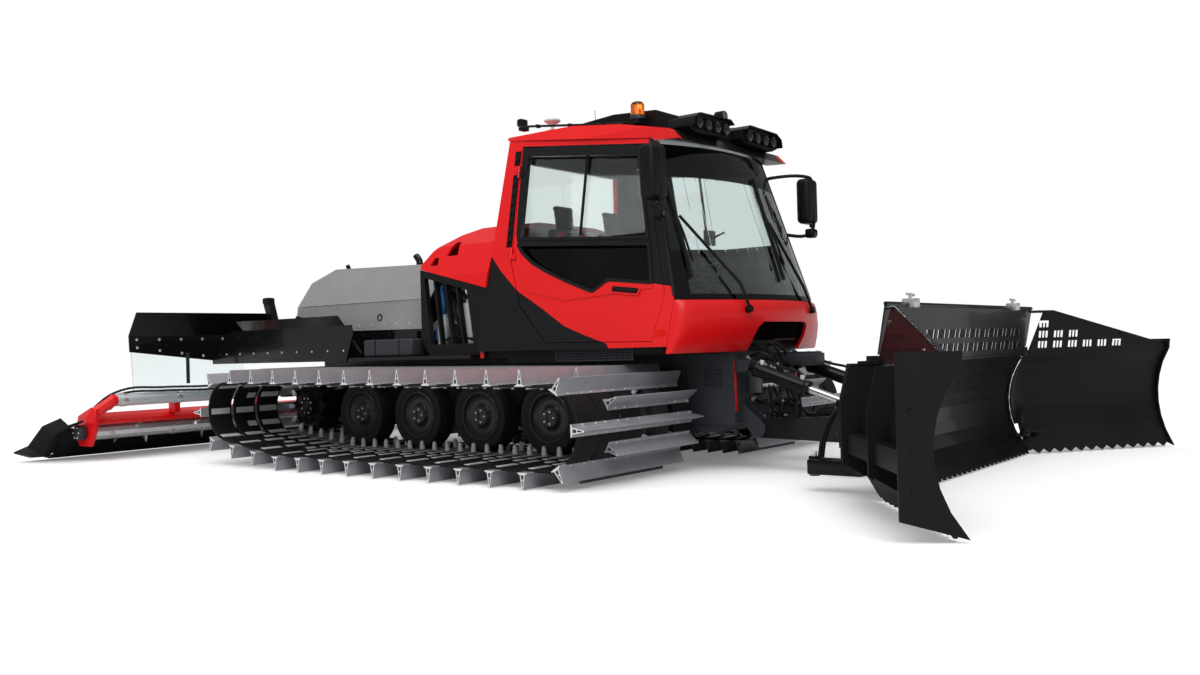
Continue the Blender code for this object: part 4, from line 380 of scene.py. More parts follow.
def tread_group():
    """Raised lozenges of chequer plate, in two directions by turns."""
    group, ins, outs = new_group("Chequer plate", (("Pitch", 0.03),), ("Height",))
    x, y, z = place_axes(group)
    up = calc(group, "SUBTRACT", z, calc(group, "ABSOLUTE", y))
    cells = []
    inside = []
    for operation in ("ADD", "SUBTRACT"):
        total = calc(group, "DIVIDE", calc(group, operation, x, up), ins.outputs["Pitch"])
        cells.append(calc(group, "FLOOR", total))
        middle = calc(group, "SUBTRACT", calc(group, "FRACT", total), 0.5)
        inside.append(calc(group, "ABSOLUTE", middle))
    turn = calc(group, "FLOORED_MODULO", calc(group, "ADD", *cells), 2.0)
    lozenges = []
    for first, second in (inside, inside[::-1]):
        long_part = calc(group, "MULTIPLY", first, 2.2)
        total = calc(group, "ADD", long_part, calc(group, "MULTIPLY", second, 7.0))
        lozenges.append(remapped(group, total, 1.0, 0.7))
    chosen = node(group, "ShaderNodeMix", (), {0: turn, 2: lozenges[0], 3: lozenges[1]}, data_type="FLOAT")
    group.links.new(chosen.outputs[0], outs.inputs["Height"])
    return group


def line_height(tree, x, edge):
    """Height at x of a line of (x, z) points, by a colour ramp over the ramp's length."""
    ramp = node(tree, "ShaderNodeValToRGB", (), {"Fac": calc(tree, "DIVIDE", x, RAMP_LENGTH)})
    stops = ramp.color_ramp.elements
    while len(stops) < len(edge):
        stops.new(0.5)
    for stop, (place, z) in zip(stops, edge):
        stop.position = place / RAMP_LENGTH
        stop.color = (z / RAMP_HEIGHT, z / RAMP_HEIGHT, z / RAMP_HEIGHT, 1)
    return calc(tree, "MULTIPLY", ramp.outputs["Color"], RAMP_HEIGHT)


def lean_out(tree, y, z):
    """How far a place stands out, measured along the cab's leaning side."""
    return calc(tree, "MULTIPLY_ADD", z, CAB_LEAN, calc(tree, "ABSOLUTE", y))


def any_of(tree, *masks):
    total = masks[0]
    for mask in masks[1:]:
        total = calc(tree, "MAXIMUM", total, mask)
    return total


RAMP_LENGTH = 2.4
RAMP_HEIGHT = 3.0
# lean_out on the outer face of the cab's side, and the wall's depth left in paint; deeper faces, inside the
# cab, go black as dark trim and painted shade
SIDE_FACE = CAB_BASE_Y + CAB_FLOOR_Z * CAB_LEAN
SIDE_PAINT_DEPTH = 0.016
# x and height of the red band's upper and lower edges
BAND_TOP = (
    (0.50, 1.90), (0.56, 1.80), (0.70, 1.70), (0.86, 1.62), (1.10, 1.52),
    (1.36, 1.425), (1.50, 1.51), (1.93, 1.465),
)
BAND_FOOT = ((0.16, 1.86), (0.35, 1.66), (0.56, 1.48), (0.85, 1.32), (1.10, 1.17), (1.32, 1.09),
    (1.54, 1.02), (1.62, 0.90))


# slope and height at x = 0 of the line below the roof's edge
ROOF_LINE = (-0.1176, 2.782)
ROOF_BLACK_Y = 0.80
ROOF_BLACK_X = 0.62
REAR_WALL_X = 0.6


def band_group():
    """Black above and below the red band of the cab's side, and on its inside, where the black is partly the
    cab's dark trim and partly painted shade.
    """
    group, _, outs = new_group("Cab black", (), ("Mask",))
    x, y, z = place_axes(group)
    above = calc(group, "GREATER_THAN", z, line_height(group, x,
        ((0.466, 2.9), (0.47, 2.0), *BAND_TOP, (2.30, 1.40))))
    below = calc(group, "LESS_THAN", z, line_height(group, x, BAND_FOOT))
    under_roof = calc(group, "LESS_THAN", z, calc(group, "MULTIPLY_ADD", x, *ROOF_LINE))
    above = calc(group, "MULTIPLY", above, under_roof)
    below = calc(group, "MULTIPLY", below, calc(group, "LESS_THAN", x, BAND_FOOT[-1][0]))
    # painted shade: faces deeper than the paint, inside the cab, go black, partly for its dark trim
    inside = calc(group, "LESS_THAN", lean_out(group, y, z), SIDE_FACE - SIDE_PAINT_DEPTH)
    group.links.new(any_of(group, above, below, inside), outs.inputs["Mask"])
    return group


def roof_group():
    """Black on the roof's middle, and black underneath it and on the rear wall's inside that is partly the
    cab's dark trim and partly painted shade.
    """
    group, _, outs = new_group("Roof black", (), ("Mask",))
    x, y, z = place_axes(group)
    near = calc(group, "LESS_THAN", calc(group, "ABSOLUTE", y), ROOF_BLACK_Y)
    middle = calc(group, "MULTIPLY", near, calc(group, "GREATER_THAN", x, ROOF_BLACK_X))
    turned = node(group, "ShaderNodeNewGeometry").outputs["True Normal"]
    ahead, _, upward = node(group, "ShaderNodeSeparateXYZ", (), {"Vector": turned}).outputs
    # painted shade: faces that look down, and the rear wall's inner face, go black, partly for the cab's
    # dark trim
    under = calc(group, "LESS_THAN", upward, -0.3)
    wall = calc(group, "MULTIPLY", calc(group, "GREATER_THAN", ahead, 0.5),
        calc(group, "LESS_THAN", x, REAR_WALL_X))
    group.links.new(any_of(group, middle, under, wall), outs.inputs["Mask"])
    return group


def shade_group():
    """Dark parts of the panes: above and below two heights and near the pillars."""
    group, ins, outs = new_group("Pane shade", (("Above", 9.0), ("Below", 0.0), ("Edge", 9.0)), ("Mask",))
    x, y, z = place_axes(group)
    above = calc(group, "GREATER_THAN", z, ins.outputs["Above"])
    below = calc(group, "LESS_THAN", z, ins.outputs["Below"])
    edge = calc(group, "GREATER_THAN", lean_out(group, y, z), ins.outputs["Edge"])
    group.links.new(any_of(group, above, below, edge), outs.inputs["Mask"])
    return group


GROUPS = {}
FINISHES = {}

# name: colour, roughness, metallic, coat, patch scale, grain scale, grain depth, shade
FINISH_TABLE = {
    "red_paint": ((0.80, 0.004, 0.006), 0.34, 0.0, 0.2, 0.8, 90.0, 0.00006, 0.05),
    "black_paint": ((0.005, 0.005, 0.006), 0.26, 0.0, 0.25, 1.0, 120.0, 0.00008, 0.30),
    "black_plastic": ((0.008, 0.008, 0.009), 0.42, 0.0, 0.0, 2.0, 700.0, 0.00015, 0.20),
    "blade_paint": ((0.004, 0.004, 0.005), 0.28, 0.0, 0.2, 1.2, 60.0, 0.00006, 0.40),
    "frame_grey": ((0.040, 0.043, 0.050), 0.42, 0.2, 0.0, 1.5, 200.0, 0.00010, 0.25),
    "bar_metal": ((0.46, 0.47, 0.50), 0.36, 0.45, 0.0, 6.0, 260.0, 0.00010, 0.18),
    "zinc": ((0.84, 0.84, 0.85), 0.34, 0.35, 0.0, 18.0, 500.0, 0.00010, 0.20),
    "belt_rubber": ((0.010, 0.010, 0.011), 0.62, 0.0, 0.0, 5.0, 900.0, 0.0003, 0.30),
    "tyre_rubber": ((0.022, 0.022, 0.024), 0.55, 0.0, 0.0, 3.0, 600.0, 0.0002, 0.20),
    "wheel_grey": ((0.030, 0.031, 0.034), 0.40, 0.1, 0.2, 3.0, 300.0, 0.0001, 0.20),
    "hose_rubber": ((0.012, 0.012, 0.013), 0.42, 0.0, 0.0, 8.0, 900.0, 0.0001, 0.25),
    "mat_rubber": ((0.012, 0.012, 0.012), 0.50, 0.0, 0.0, 4.0, 400.0, 0.0003, 0.30),
    "bright_steel": ((0.74, 0.74, 0.75), 0.26, 0.7, 0.0, 10.0, 300.0, 0.0001, 0.15),
    "chrome": ((0.80, 0.80, 0.81), 0.08, 1.0, 0.0, 5.0, 200.0, 0.00002, 0.04),
    "engine_grey": ((0.16, 0.17, 0.18), 0.45, 0.6, 0.0, 4.0, 150.0, 0.0002, 0.25),
    "pale_tube": ((0.62, 0.64, 0.66), 0.34, 0.2, 0.0, 4.0, 200.0, 0.0001, 0.10),
    "blue_hose": ((0.02, 0.16, 0.42), 0.45, 0.0, 0.0, 8.0, 700.0, 0.0001, 0.15),
    "reflector": ((0.90, 0.90, 0.91), 0.38, 0.5, 0.0, 5.0, 90.0, 0.0008, 0.10),
    "white_plastic": ((0.80, 0.80, 0.80), 0.35, 0.0, 0.0, 4.0, 400.0, 0.0001, 0.04),
}


# black under the masks of the paint, for its two-tone paint and for painted shade inside the cab and under
# the roof; near black under the masks of the panes, painted shade where it darkens the door's lower pane
PAINT_BLACK_AND_SHADE = (0.007, 0.007, 0.008)
MASKED_GLASS = (0.012, 0.013, 0.013)
LOZENGE = (0.74, 0.74, 0.75)
CHEQUER_PITCH = 0.042
CHEQUER_HEIGHT = 0.005


def life(tree, patch, grain):
    made = node(tree, "ShaderNodeGroup", node_tree=GROUPS["surface"])
    made.inputs["Patch scale"].default_value = patch
    made.inputs["Grain scale"].default_value = grain
    return made


def varied(tree, factor, colour, shade):
    """The colour, a little darker and lighter in patches."""
    dark = tuple(c * (1 - shade) for c in colour)
    light = tuple(min(1, c * (1 + shade)) for c in colour)
    return blended(tree, factor, dark, light)


def new_material(name):
    mat = bpy.data.materials.new(name)
    mat.use_nodes = True
    return mat, mat.node_tree, mat.node_tree.nodes["Principled BSDF"]


def weathered(tree, shader, colour, roughness, spread_by, patch, grain, depth, shade):
    """Patches in the colour and the roughness, and grain in the normal."""
    over = life(tree, patch, grain)
    colour = varied(tree, over.outputs["Patches"], colour, shade)
    low, high = roughness * (1 - spread_by), roughness * (1 + spread_by)
    rough = remapped(tree, over.outputs["Patches"], 0.3, 0.7, low, high)
    tree.links.new(rough, shader.inputs["Roughness"])
    bump = node(tree, "ShaderNodeBump", {"Strength": 1.0, "Distance": depth},
        {"Height": over.outputs["Grain"]})
    tree.links.new(bump.outputs[0], shader.inputs["Normal"])
    return colour


def make_finish(name, colour, roughness, metallic, coat, patch, grain, depth, shade):
    mat, tree, shader = new_material(name)
    shader.inputs["Metallic"].default_value = metallic
    shader.inputs["Coat Weight"].default_value = coat
    shader.inputs["Coat Roughness"].default_value = 0.06
    shader.inputs["Specular IOR Level"].default_value = 0.2 if max(colour) < 0.03 else 0.4
    mix = weathered(tree, shader, colour, roughness, 0.15, patch, grain, depth, shade)
    tree.links.new(mix, shader.inputs["Base Color"])
    FINISHES[name] = mat
    return tree, shader, mix


def make_red_and_black(name, group):
    """Red paint that a mask turns black."""
    tree, shader, red = make_finish(name, *FINISH_TABLE["red_paint"])
    mask = node(tree, "ShaderNodeGroup", node_tree=GROUPS[group])
    mix = blended(tree, mask.outputs["Mask"], red, PAINT_BLACK_AND_SHADE)
    tree.links.new(mix, shader.inputs["Base Color"])


def make_chequer():
    tree, shader, plain = make_finish("chequer_plate", (0.40, 0.40, 0.41), 0.32, 0.45, 0.0, 2.5, 220.0,
        0.00008, 0.12)
    first = shader.inputs["Normal"].links[0].from_socket
    tread = node(tree, "ShaderNodeGroup", node_tree=GROUPS["tread"])
    tread.inputs["Pitch"].default_value = CHEQUER_PITCH
    bright = blended(tree, tread.outputs["Height"], plain, LOZENGE)
    tree.links.new(bright, shader.inputs["Base Color"])
    raised = node(tree, "ShaderNodeBump", {"Strength": 1.0, "Distance": CHEQUER_HEIGHT}, {
        "Height": tread.outputs["Height"], "Normal": first})
    tree.links.new(raised.outputs[0], shader.inputs["Normal"])


def make_glass(name, tint, roughness, depth, shade=None):
    mat, tree, shader = new_material(name)
    shader.inputs["Transmission Weight"].default_value = 1.0
    shader.inputs["IOR"].default_value = 1.45
    mix = weathered(tree, shader, tint, roughness, 0.2, 1.0, 40.0, depth, 0.04)
    if shade:
        dark = node(tree, "ShaderNodeGroup", node_tree=GROUPS["shade"])
        for title, value in shade.items():
            dark.inputs[title].default_value = value
        mix = blended(tree, dark.outputs["Mask"], mix, MASKED_GLASS)
    tree.links.new(mix, shader.inputs["Base Color"])
    FINISHES[name] = mat


def make_cloth(name, colour):
    tree, shader, _ = make_finish(name, colour, 0.85, 0.0, 0.0, 6.0, 300.0, 0.0001, 0.15)
    shader.inputs["Sheen Weight"].default_value = 0.25
    shader.inputs["Sheen Roughness"].default_value = 0.4
    place = node(tree, "ShaderNodeTexCoord").outputs["Object"]
    waves = []
    for axis in ("X", "Y"):
        wave = node(tree, "ShaderNodeTexWave", {"Scale": 90.0, "Distortion": 0.4}, {"Vector": place},
            bands_direction=axis)
        waves.append(wave.outputs["Fac"])
    bump = node(tree, "ShaderNodeBump", {"Strength": 0.8, "Distance": 0.0006},
        {"Height": any_of(tree, *waves)})
    tree.links.new(bump.outputs[0], shader.inputs["Normal"])


def make_finishes(settings):
    GROUPS["surface"] = surface_group()
    GROUPS["tread"] = tread_group()
    GROUPS["band"] = band_group()
    GROUPS["roof"] = roof_group()
    GROUPS["shade"] = shade_group()
    table = dict(FINISH_TABLE)
    table["red_paint"] = (tuple(settings.paint), *FINISH_TABLE["red_paint"][1:])
    for name, row in table.items():
        make_finish(name, *row)
    make_red_and_black("cab_paint", "band")
    make_red_and_black("roof_paint", "roof")
    make_chequer()
    make_glass("window_glass", (0.86, 0.90, 0.89), 0.015, 0.00002)
    # painted shade: the door's pane goes near black below 1.87 m, for the dark cab seen through the lower
    # window
    make_glass("door_glass", (0.78, 0.84, 0.83), 0.015, 0.00002, {"Below": 1.87})
    make_glass("screen_glass", (0.80, 0.87, 0.86), 0.015, 0.00002,
        {"Above": 2.30, "Below": 1.375, "Edge": SIDE_FACE - 0.12})
    make_glass("lamp_glass", (0.95, 0.95, 0.95), 0.03, 0.0003)
    make_glass("orange_lens", (1.0, 0.20, 0.01), 0.08, 0.0003)
    make_glass("clear_sheet", (0.88, 0.95, 0.95), 0.10, 0.0006)
    make_cloth("seat_cloth", (0.016, 0.016, 0.017))
    make_cloth("red_cloth", (0.45, 0.010, 0.014))


# CAD node and the finish it keeps
NODE_FINISHES = {
    "chassis": "frame_grey", "deck": "black_paint", "engine": "engine_grey", "hood": "chequer_plate",
    "rear_shroud": "red_paint", "cab_floor": "black_plastic", "cab_rear_wall": "roof_paint",
    "rear_glass": "window_glass", "cab_roof": "roof_paint", "windshield": "screen_glass",
    "nose": "red_paint", "seat_driver": "seat_cloth", "seat_passenger": "seat_cloth",
    "dashboard": "black_plastic", "roof_fairing": "black_plastic", "push_frame": "black_paint",
    "blade_carrier": "black_paint", "blade": "blade_paint", "tiller_frame": "black_paint",
    "tiller_housing": "red_paint", "tiller_rotor": "bright_steel", "finisher": "mat_rubber",
    "track": "bar_metal", "road_wheels": "tyre_rubber", "sprocket": "black_plastic",
    "spray_sheet": "clear_sheet", "engine_cover": "black_plastic", "cab_side": "cab_paint",
    "door": "cab_paint", "door_glass": "door_glass", "beacon": "orange_lens",
    "mirror": "black_plastic", "wiper": "black_plastic", "lift_barrel": "black_paint",
    "lift_rod": "chrome", "blade_wing": "black_plastic", "antenna": "white_plastic",
}


def dress_nodes():
    for name, obj in NODES.items():
        base = name
        for side in ("_right", "_left"):
            base = base.removesuffix(side) if base.removesuffix(side) in NODE_FINISHES else base
        painted(obj, NODE_FINISHES[base])


# Running gear

def track_loop(offset):
    """Straights and arcs of the belts' loop at an offset from their inner face."""
    start = WHEEL_RADIUS - BELT_OUTSIDE + BELT_INSIDE + BAR_SINK
    circles = (
        (WHEEL_PLACES[-1], WHEEL_Z, start + offset),
        (WHEEL_PLACES[0], WHEEL_Z, start + offset),
        (*SPROCKET, SPROCKET_RADIUS - WHEEL_RADIUS + start + offset),
    )
    normals = []
    for i, (x0, z0, r0) in enumerate(circles):
        x1, z1, r1 = circles[(i + 1) % 3]
        run = math.hypot(x1 - x0, z1 - z0)
        normals.append(math.atan2(z1 - z0, x1 - x0) - math.pi / 2 + math.asin((r0 - r1) / run))
    pieces = []
    for i, (x0, z0, r0) in enumerate(circles):
        x1, z1, r1 = circles[(i + 1) % 3]
        out = Vector((math.cos(normals[i]), math.sin(normals[i])))
        a = Vector((x0, z0)) + out * r0
        b = Vector((x1, z1)) + out * r1
        pieces.append((a, b, None, normals[i], 0, (b - a).length))
        turn = (normals[(i + 1) % 3] - normals[i]) % (2 * math.pi)
        pieces.append((Vector((x1, z1)), None, r1, normals[i], turn, r1 * turn))
    return pieces


def loop_point(pieces, along):
    """Place and outward angle at a distance along the loop."""
    for a, b, radius, angle, turn, length in pieces:
        if along <= length:
            break
        along -= length
    share = min(1, along / length)
    if radius is None:
        return *(a + (b - a) * share), angle
    heading = angle + turn * share
    return a[0] + radius * math.cos(heading), a[1] + radius * math.sin(heading), heading


def stations(offset, count):
    pieces = track_loop(offset)
    total = sum(piece[5] for piece in pieces)
    return [loop_point(pieces, total * (k + 0.5) / count) for k in range(count)]


def at_station(x, z, angle):
    """Local X along the belt, Y to the vehicle's right, Z out of the loop."""
    out = (math.cos(angle), math.sin(angle))
    return Matrix((
        (-out[1], 0, out[0], x),
        (0, -1, 0, 0),
        (out[0], 0, out[1], z),
        (0, 0, 0, 1),
    ))


def loop_outline(offset):
    pieces = track_loop(offset)
    points = []
    for a, b, radius, angle, turn, _ in pieces:
        if radius is None:
            points += [tuple(a), tuple(b)]
            continue
        count = max(2, round(turn / math.radians(7)))
        for k in range(1, count):
            heading = angle + turn * k / count
            points.append((a[0] + radius * math.cos(heading), a[1] + radius * math.sin(heading)))
    return points


BELTS = ((0.585, 0.84), (1.27, 1.50), (1.53, 1.76), (1.79, 2.02))
BOLT_ROWS = (0.64, 0.80, 1.31, 1.46, 1.57, 1.72, 1.83, 1.98)
BAR_SECTION = (
    (-0.045, -0.008), (0.045, -0.008), (0.045, -0.001), (0.024, 0.006),
    (0.006, 0.108), (0.0035, 0.113), (-0.0035, 0.113), (-0.006, 0.108),
    (-0.024, 0.006), (-0.045, -0.001),
)
BAR_HOLES = (
    ((-0.015, 0.010), (0.015, 0.010), (0.0095, 0.042), (-0.0095, 0.042)),
    ((-0.0075, 0.050), (0.0075, 0.050), (0.0035, 0.088), (-0.0035, 0.088)),
)
FINGER = (
    (-0.026, -0.008), (0.026, -0.008), (0.017, -0.070), (0.009, -0.086),
    (-0.009, -0.086), (-0.017, -0.070),
)


def make_bar(tip):
    bar = painted(panel(BAR_SECTION, "xz", (BAR_INNER, tip), BAR_HOLES), "bar_metal")
    # the bars' cut ends take the brighter zinc finish: partly bare cut metal, partly a painted highlight
    bar.data.materials.append(FINISHES["zinc"])
    for face in bar.data.polygons:
        face.material_index = int(abs(face.normal.y) > 0.9)
    pieces = [bar]
    bolt = painted(rod((0, 0, -0.003), (0, 0, 0.007), 0.0095, 6), "zinc")
    for y in BOLT_ROWS:
        if y < tip:
            for x in (-0.035, 0.035):
                pieces.append(copied(bolt, Matrix.Translation((x, y, 0))))
    bpy.data.objects.remove(bolt)
    for low, high in ((0.850, 0.874), (1.104, 1.128)):
        pieces.append(painted(panel(FINGER, "xz", (low, high), bevel=0.004), "zinc"))
    for low, high in BELTS:
        if low < tip:
            plate = block((-0.027, 0.027), (low + 0.02, min(high, tip) - 0.02), (-0.030, -0.0245))
            pieces.append(painted(plate, "zinc"))
    return joined(pieces)


def make_tracks(settings):
    masters = (make_bar(BAR_LONG), make_bar(BAR_SHORT))
    bars = []
    for k, (x, z, angle) in enumerate(stations(BELT_OUTSIDE, settings.bars)):
        bars.append(copied(masters[k % 2], at_station(x, z, angle)))
    for master in masters:
        bpy.data.objects.remove(master)
    belts = []
    for inner, outer in BELTS:
        drop = BAR_SINK + 0.0006 if inner < 1 else 0.0
        belts.append(painted(panel(
            loop_outline(BELT_OUTSIDE - drop), "xz", (-outer, -inner), [loop_outline(BELT_INSIDE)]
        ), "belt_rubber"))
    both_sides(joined(bars + belts), "track_dressed", "root", None, ["track"], 30)


TYRE = (
    (0.214, 0.004), (0.29, 0.0), (0.300, 0.008), (0.302, 0.020), (0.302, 0.118), (0.2975, 0.121),
    (0.2975, 0.127), (0.302, 0.130), (0.302, 0.140), (0.2975, 0.143), (0.2975, 0.149), (0.302, 0.152),
    (0.302, 0.162), (0.2975, 0.165), (0.2975, 0.171), (0.300, 0.176), (0.292, 0.186), (0.276, 0.190),
    (0.250, 0.189), (0.238, 0.182), (0.226, 0.180), (0.214, 0.174),
)
DISC = (
    (0.0, 0.010), (0.215, 0.010), (0.2155, 0.172), (0.206, 0.180), (0.198, 0.179), (0.192, 0.168),
    (0.186, 0.152), (0.172, 0.141), (0.130, 0.134), (0.104, 0.138), (0.090, 0.150), (0.082, 0.166),
    (0.074, 0.171), (0.030, 0.172), (0.026, 0.164), (0.0, 0.164),
)


def make_wheels():
    tyre = painted(lathe(TYRE, (0, 0, 0), (0, -1, 0), 48, closed=True), "tyre_rubber")
    disc = painted(lathe(DISC, (0, 0, 0), (0, -1, 0), 48), "wheel_grey")
    studs = []
    for k in range(5):
        angle = 2 * math.pi * k / 5
        x, z = 0.052 * math.cos(angle), 0.052 * math.sin(angle)
        studs.append(painted(rod((x, -0.168, z), (x, -0.184, z), 0.011, 6, 0.002), "bright_steel"))
    wheel = joined([tyre, disc, *studs])
    pieces = []
    for x in WHEEL_PLACES:
        pieces.append(copied(wheel, Matrix.Translation((x, -WHEEL_INNER, WHEEL_Z))))
        axle = rod((x, -0.56, WHEEL_Z), (x, -WHEEL_INNER - 0.02, WHEEL_Z), 0.045, 20)
        flange = rod((x, -WHEEL_INNER + 0.03, WHEEL_Z), (x, -WHEEL_INNER, WHEEL_Z), 0.075, 24, 0.005)
        pieces += [painted(axle, "frame_grey"), painted(flange, "frame_grey")]
    bpy.data.objects.remove(wheel)
    beam = block(
        (WHEEL_PLACES[-1] - 0.075, WHEEL_PLACES[0] + 0.075), (-0.5703, -0.5203),
        (WHEEL_Z - 0.075, WHEEL_Z + 0.075), 0.006,
    )
    pieces.append(painted(beam, "frame_grey"))
    both_sides(joined(pieces), "wheels_dressed", "root", None, ["road_wheels"], 30)


# Fittings used by many pieces

def spread(first, last, count):
    return [first + (last - first) * k / (count - 1) for k in range(count)]


def inset(outline, distance):
    """An outline moved inwards, or outwards by a negative distance."""
    count = len(outline)
    area = sum(
        outline[i][0] * outline[(i + 1) % count][1] - outline[(i + 1) % count][0] * outline[i][1]
        for i in range(count)
    )
    turn = distance if area > 0 else -distance
    points = []
    for i in range(count):
        before, here, after = (Vector(outline[j % count]) for j in (i - 1, i, i + 1))
        first = (here - before).normalized()
        second = (after - here).normalized()
        normals = [Vector((-d.y, d.x)) for d in (first, second)]
        middle = (normals[0] + normals[1]).normalized()
        points.append(tuple(here + middle * turn / max(0.3, middle.dot(normals[0]))))
    return points


def rounded(outline, radius):
    """An outline with each corner cut round."""
    count = len(outline)
    points = []
    for i in range(count):
        before, here, after = (Vector(outline[j % count]) for j in (i - 1, i, i + 1))
        first = here + (before - here).normalized() * radius
        last = here + (after - here).normalized() * radius
        for k in range(5):
            t = k / 4
            points.append(tuple(first * (1 - t) ** 2 + here * 2 * t * (1 - t) + last * t ** 2))
    return points


def bolt(place, axis, radius=0.010, height=0.007, finish="zinc"):
    end = Vector(place) + Vector(axis).normalized() * height
    return painted(rod(place, end, radius, 6, radius * 0.12), finish)


def bolts(places, axis, radius=0.010, height=0.007, finish="zinc"):
    master = bolt((0, 0, 0), axis, radius, height, finish)
    pieces = [copied(master, Matrix.Translation(place)) for place in places]
    bpy.data.objects.remove(master)
    return pieces


LEANING = Matrix.Identity(4)
LEANING[1][2] = CAB_LEAN
LEANING[1][3] = -CAB_FLOOR_Z * CAB_LEAN


def on_side(outline, inner, outer, holes=(), bevel=0.0):
    """A plate on the cab's right side, from inner to outer beyond its face."""
    span = (-CAB_BASE_Y - outer, -CAB_BASE_Y - inner)
    return moved(panel(outline, "xz", span, holes, bevel), LEANING)


def ring(centre, axis, radius, thickness, steps=24):
    profile = []
    for k in range(8):
        angle = 2 * math.pi * k / 8
        profile.append((radius + thickness * math.cos(angle), thickness * math.sin(angle)))
    return lathe(profile, centre, axis, steps, closed=True)


def lamp(place, axis, radius, depth=0.02):
    """Reflector bowl, lens and bezel of a round lamp."""
    bowl = lathe(((0, -depth), (radius * 0.55, -depth * 0.8), (radius * 0.88, 0)), place, axis, 20)
    lens = lathe((
        (0, 0.006), (radius * 0.5, 0.0045), (radius * 0.88, 0.0005), (radius * 0.88, -0.002), (0, -0.002)
    ), place, axis, 20)
    bezel = lathe((
        (radius * 0.86, 0.003), (radius * 0.95, 0.008), (radius, 0.003), (radius, -0.012),
        (radius * 0.86, -0.012)
    ), place, axis, 20, closed=True)
    return [
        painted(bowl, "reflector"), painted(lens, "lamp_glass"),
        painted(bezel, "black_plastic"),
    ]


# Cab

DOOR_WINDOW = ((0.53, 2.64), (0.53, 1.93), (1.845, 1.83), (1.69, 2.50))
LOW_GLASS = (
    (0.535, 1.865), (0.575, 1.81), (0.70, 1.715), (0.86, 1.635), (1.10, 1.535), (1.36, 1.44), (1.50, 1.527),
    (1.912, 1.48), (1.86, 1.77),
)
LOW_FILL = (*BAND_TOP, (1.93, 1.43), (1.10, 1.375), (0.69, 1.465), (0.54, 1.635), (0.505, 1.80))
DOOR_HANDLE = ((1.55, 1.425), (1.80, 1.395), (1.81, 1.435), (1.56, 1.465))
INDICATOR = ((1.995, 1.07), (2.075, 1.07), (2.082, 1.11), (2.002, 1.11))


def make_doors():
    """Rubber round the windows, and the handle in its recess."""
    pieces = []
    for outline, out in ((DOOR_WINDOW, 0.0045), (LOW_GLASS, 0.0085)):
        frame_out = rounded(inset(outline, -0.020), 0.03)
        frame_in = rounded(inset(outline, 0.006), 0.02)
        pieces.append(painted(on_side(frame_out, -0.004, out, [frame_in], 0.0015), "hose_rubber"))
    pieces.append(painted(on_side(LOW_FILL, -0.006, 0.004), "red_paint"))
    slide = on_side(((1.15, 1.90), (1.175, 1.90), (1.175, 2.57), (1.15, 2.575)), -0.030, -0.022)
    pieces.append(painted(slide, "black_plastic"))
    dish = rounded(inset(DOOR_HANDLE, -0.016), 0.014)
    pieces.append(painted(on_side(dish, -0.004, 0.008, [rounded(DOOR_HANDLE, 0.012)], 0.001), "red_paint"))
    pieces.append(painted(on_side(rounded(DOOR_HANDLE, 0.012), -0.004, 0.0055), "black_plastic"))
    grip = on_side(rounded(inset(DOOR_HANDLE, 0.008), 0.008), 0.0055, 0.016, (), 0.003)
    pieces.append(painted(grip, "black_plastic"))
    both_sides(joined(pieces), "door_fittings", "door", None)


def make_cab_sides():
    """Louvres behind the door, the turn lamp, the seal of the screen and the sill's grille."""
    pieces = []
    for z in (1.90, 1.98, 2.06, 2.14, 2.22, 2.30, 2.38, 2.60):
        x = 0.392
        slat = ((x, z), (x + 0.050, z + 0.012), (x + 0.050, z + 0.066), (x, z + 0.054))
        pieces.append(painted(on_side(slat, -0.002, 0.012, (), 0.003), "black_plastic"))
    for low, high in ((1.86, 2.485), (2.565, 2.69)):
        strip = on_side(rectangle(0.385, 0.448, low, high), -0.001, 0.003)
        pieces.append(painted(strip, "black_paint"))
    pieces.append(painted(on_side(rounded(INDICATOR, 0.012), -0.002, 0.012, (), 0.003), "orange_lens"))
    foot = (2.139, -side_y(1.36) - 0.004, 1.36)
    head = (1.804, -side_y(2.61) - 0.004, 2.61)
    pieces.append(painted(hose([foot, head], 0.012, 2, smooth=False), "hose_rubber"))
    grid = [
        rectangle(x, x + 0.015, z, z + 0.014)
        for x in spread(0.985, 1.715, 34) for z in spread(0.898, 0.959, 4)
    ]
    plate = panel(rectangle(0.97, 1.745, 0.888, 0.982), "xz", (-1.0965, -1.0925), grid)
    pieces.append(painted(plate, "frame_grey"))
    both_sides(joined(pieces), "cab_side_fittings", "root", None)


NOSE_ARCH = (
    (-0.42, 0.80), (0.42, 0.80), (0.42, 1.05), (0.395, 1.12), (0.34, 1.158),
    (-0.34, 1.158), (-0.395, 1.12), (-0.42, 1.05),
)


def nose_row(z, front_x, bulge):
    """One level of the nose: a bow in front, with corners that turn round to the cab's sides."""
    half = side_y(z) - 0.001
    radius, reach = arc_of(half, bulge)

    def bow(y):
        return front_x + radius * (math.cos(math.asin(y / radius)) - math.cos(reach))

    corner = 0.17
    points = [(bow(y), y) for y in spread(-(half - corner), half - corner, 25)]
    edge = 2.104 + (z - CAB_FLOOR_Z) / 0.375 * 0.035
    turn = []
    for k in range(1, 9):
        t = k / 8
        x = (1 - t) ** 2 * bow(half - corner) + 2 * t * (1 - t) * (bow(half) + 0.03) + t ** 2 * edge
        y = (1 - t) ** 2 * (half - corner) + 2 * t * (1 - t) * half + t ** 2 * half
        turn.append((x, y))
    points = [(x, -y) for x, y in reversed(turn)] + points + turn
    return [(x, y, z) for x, y in points]


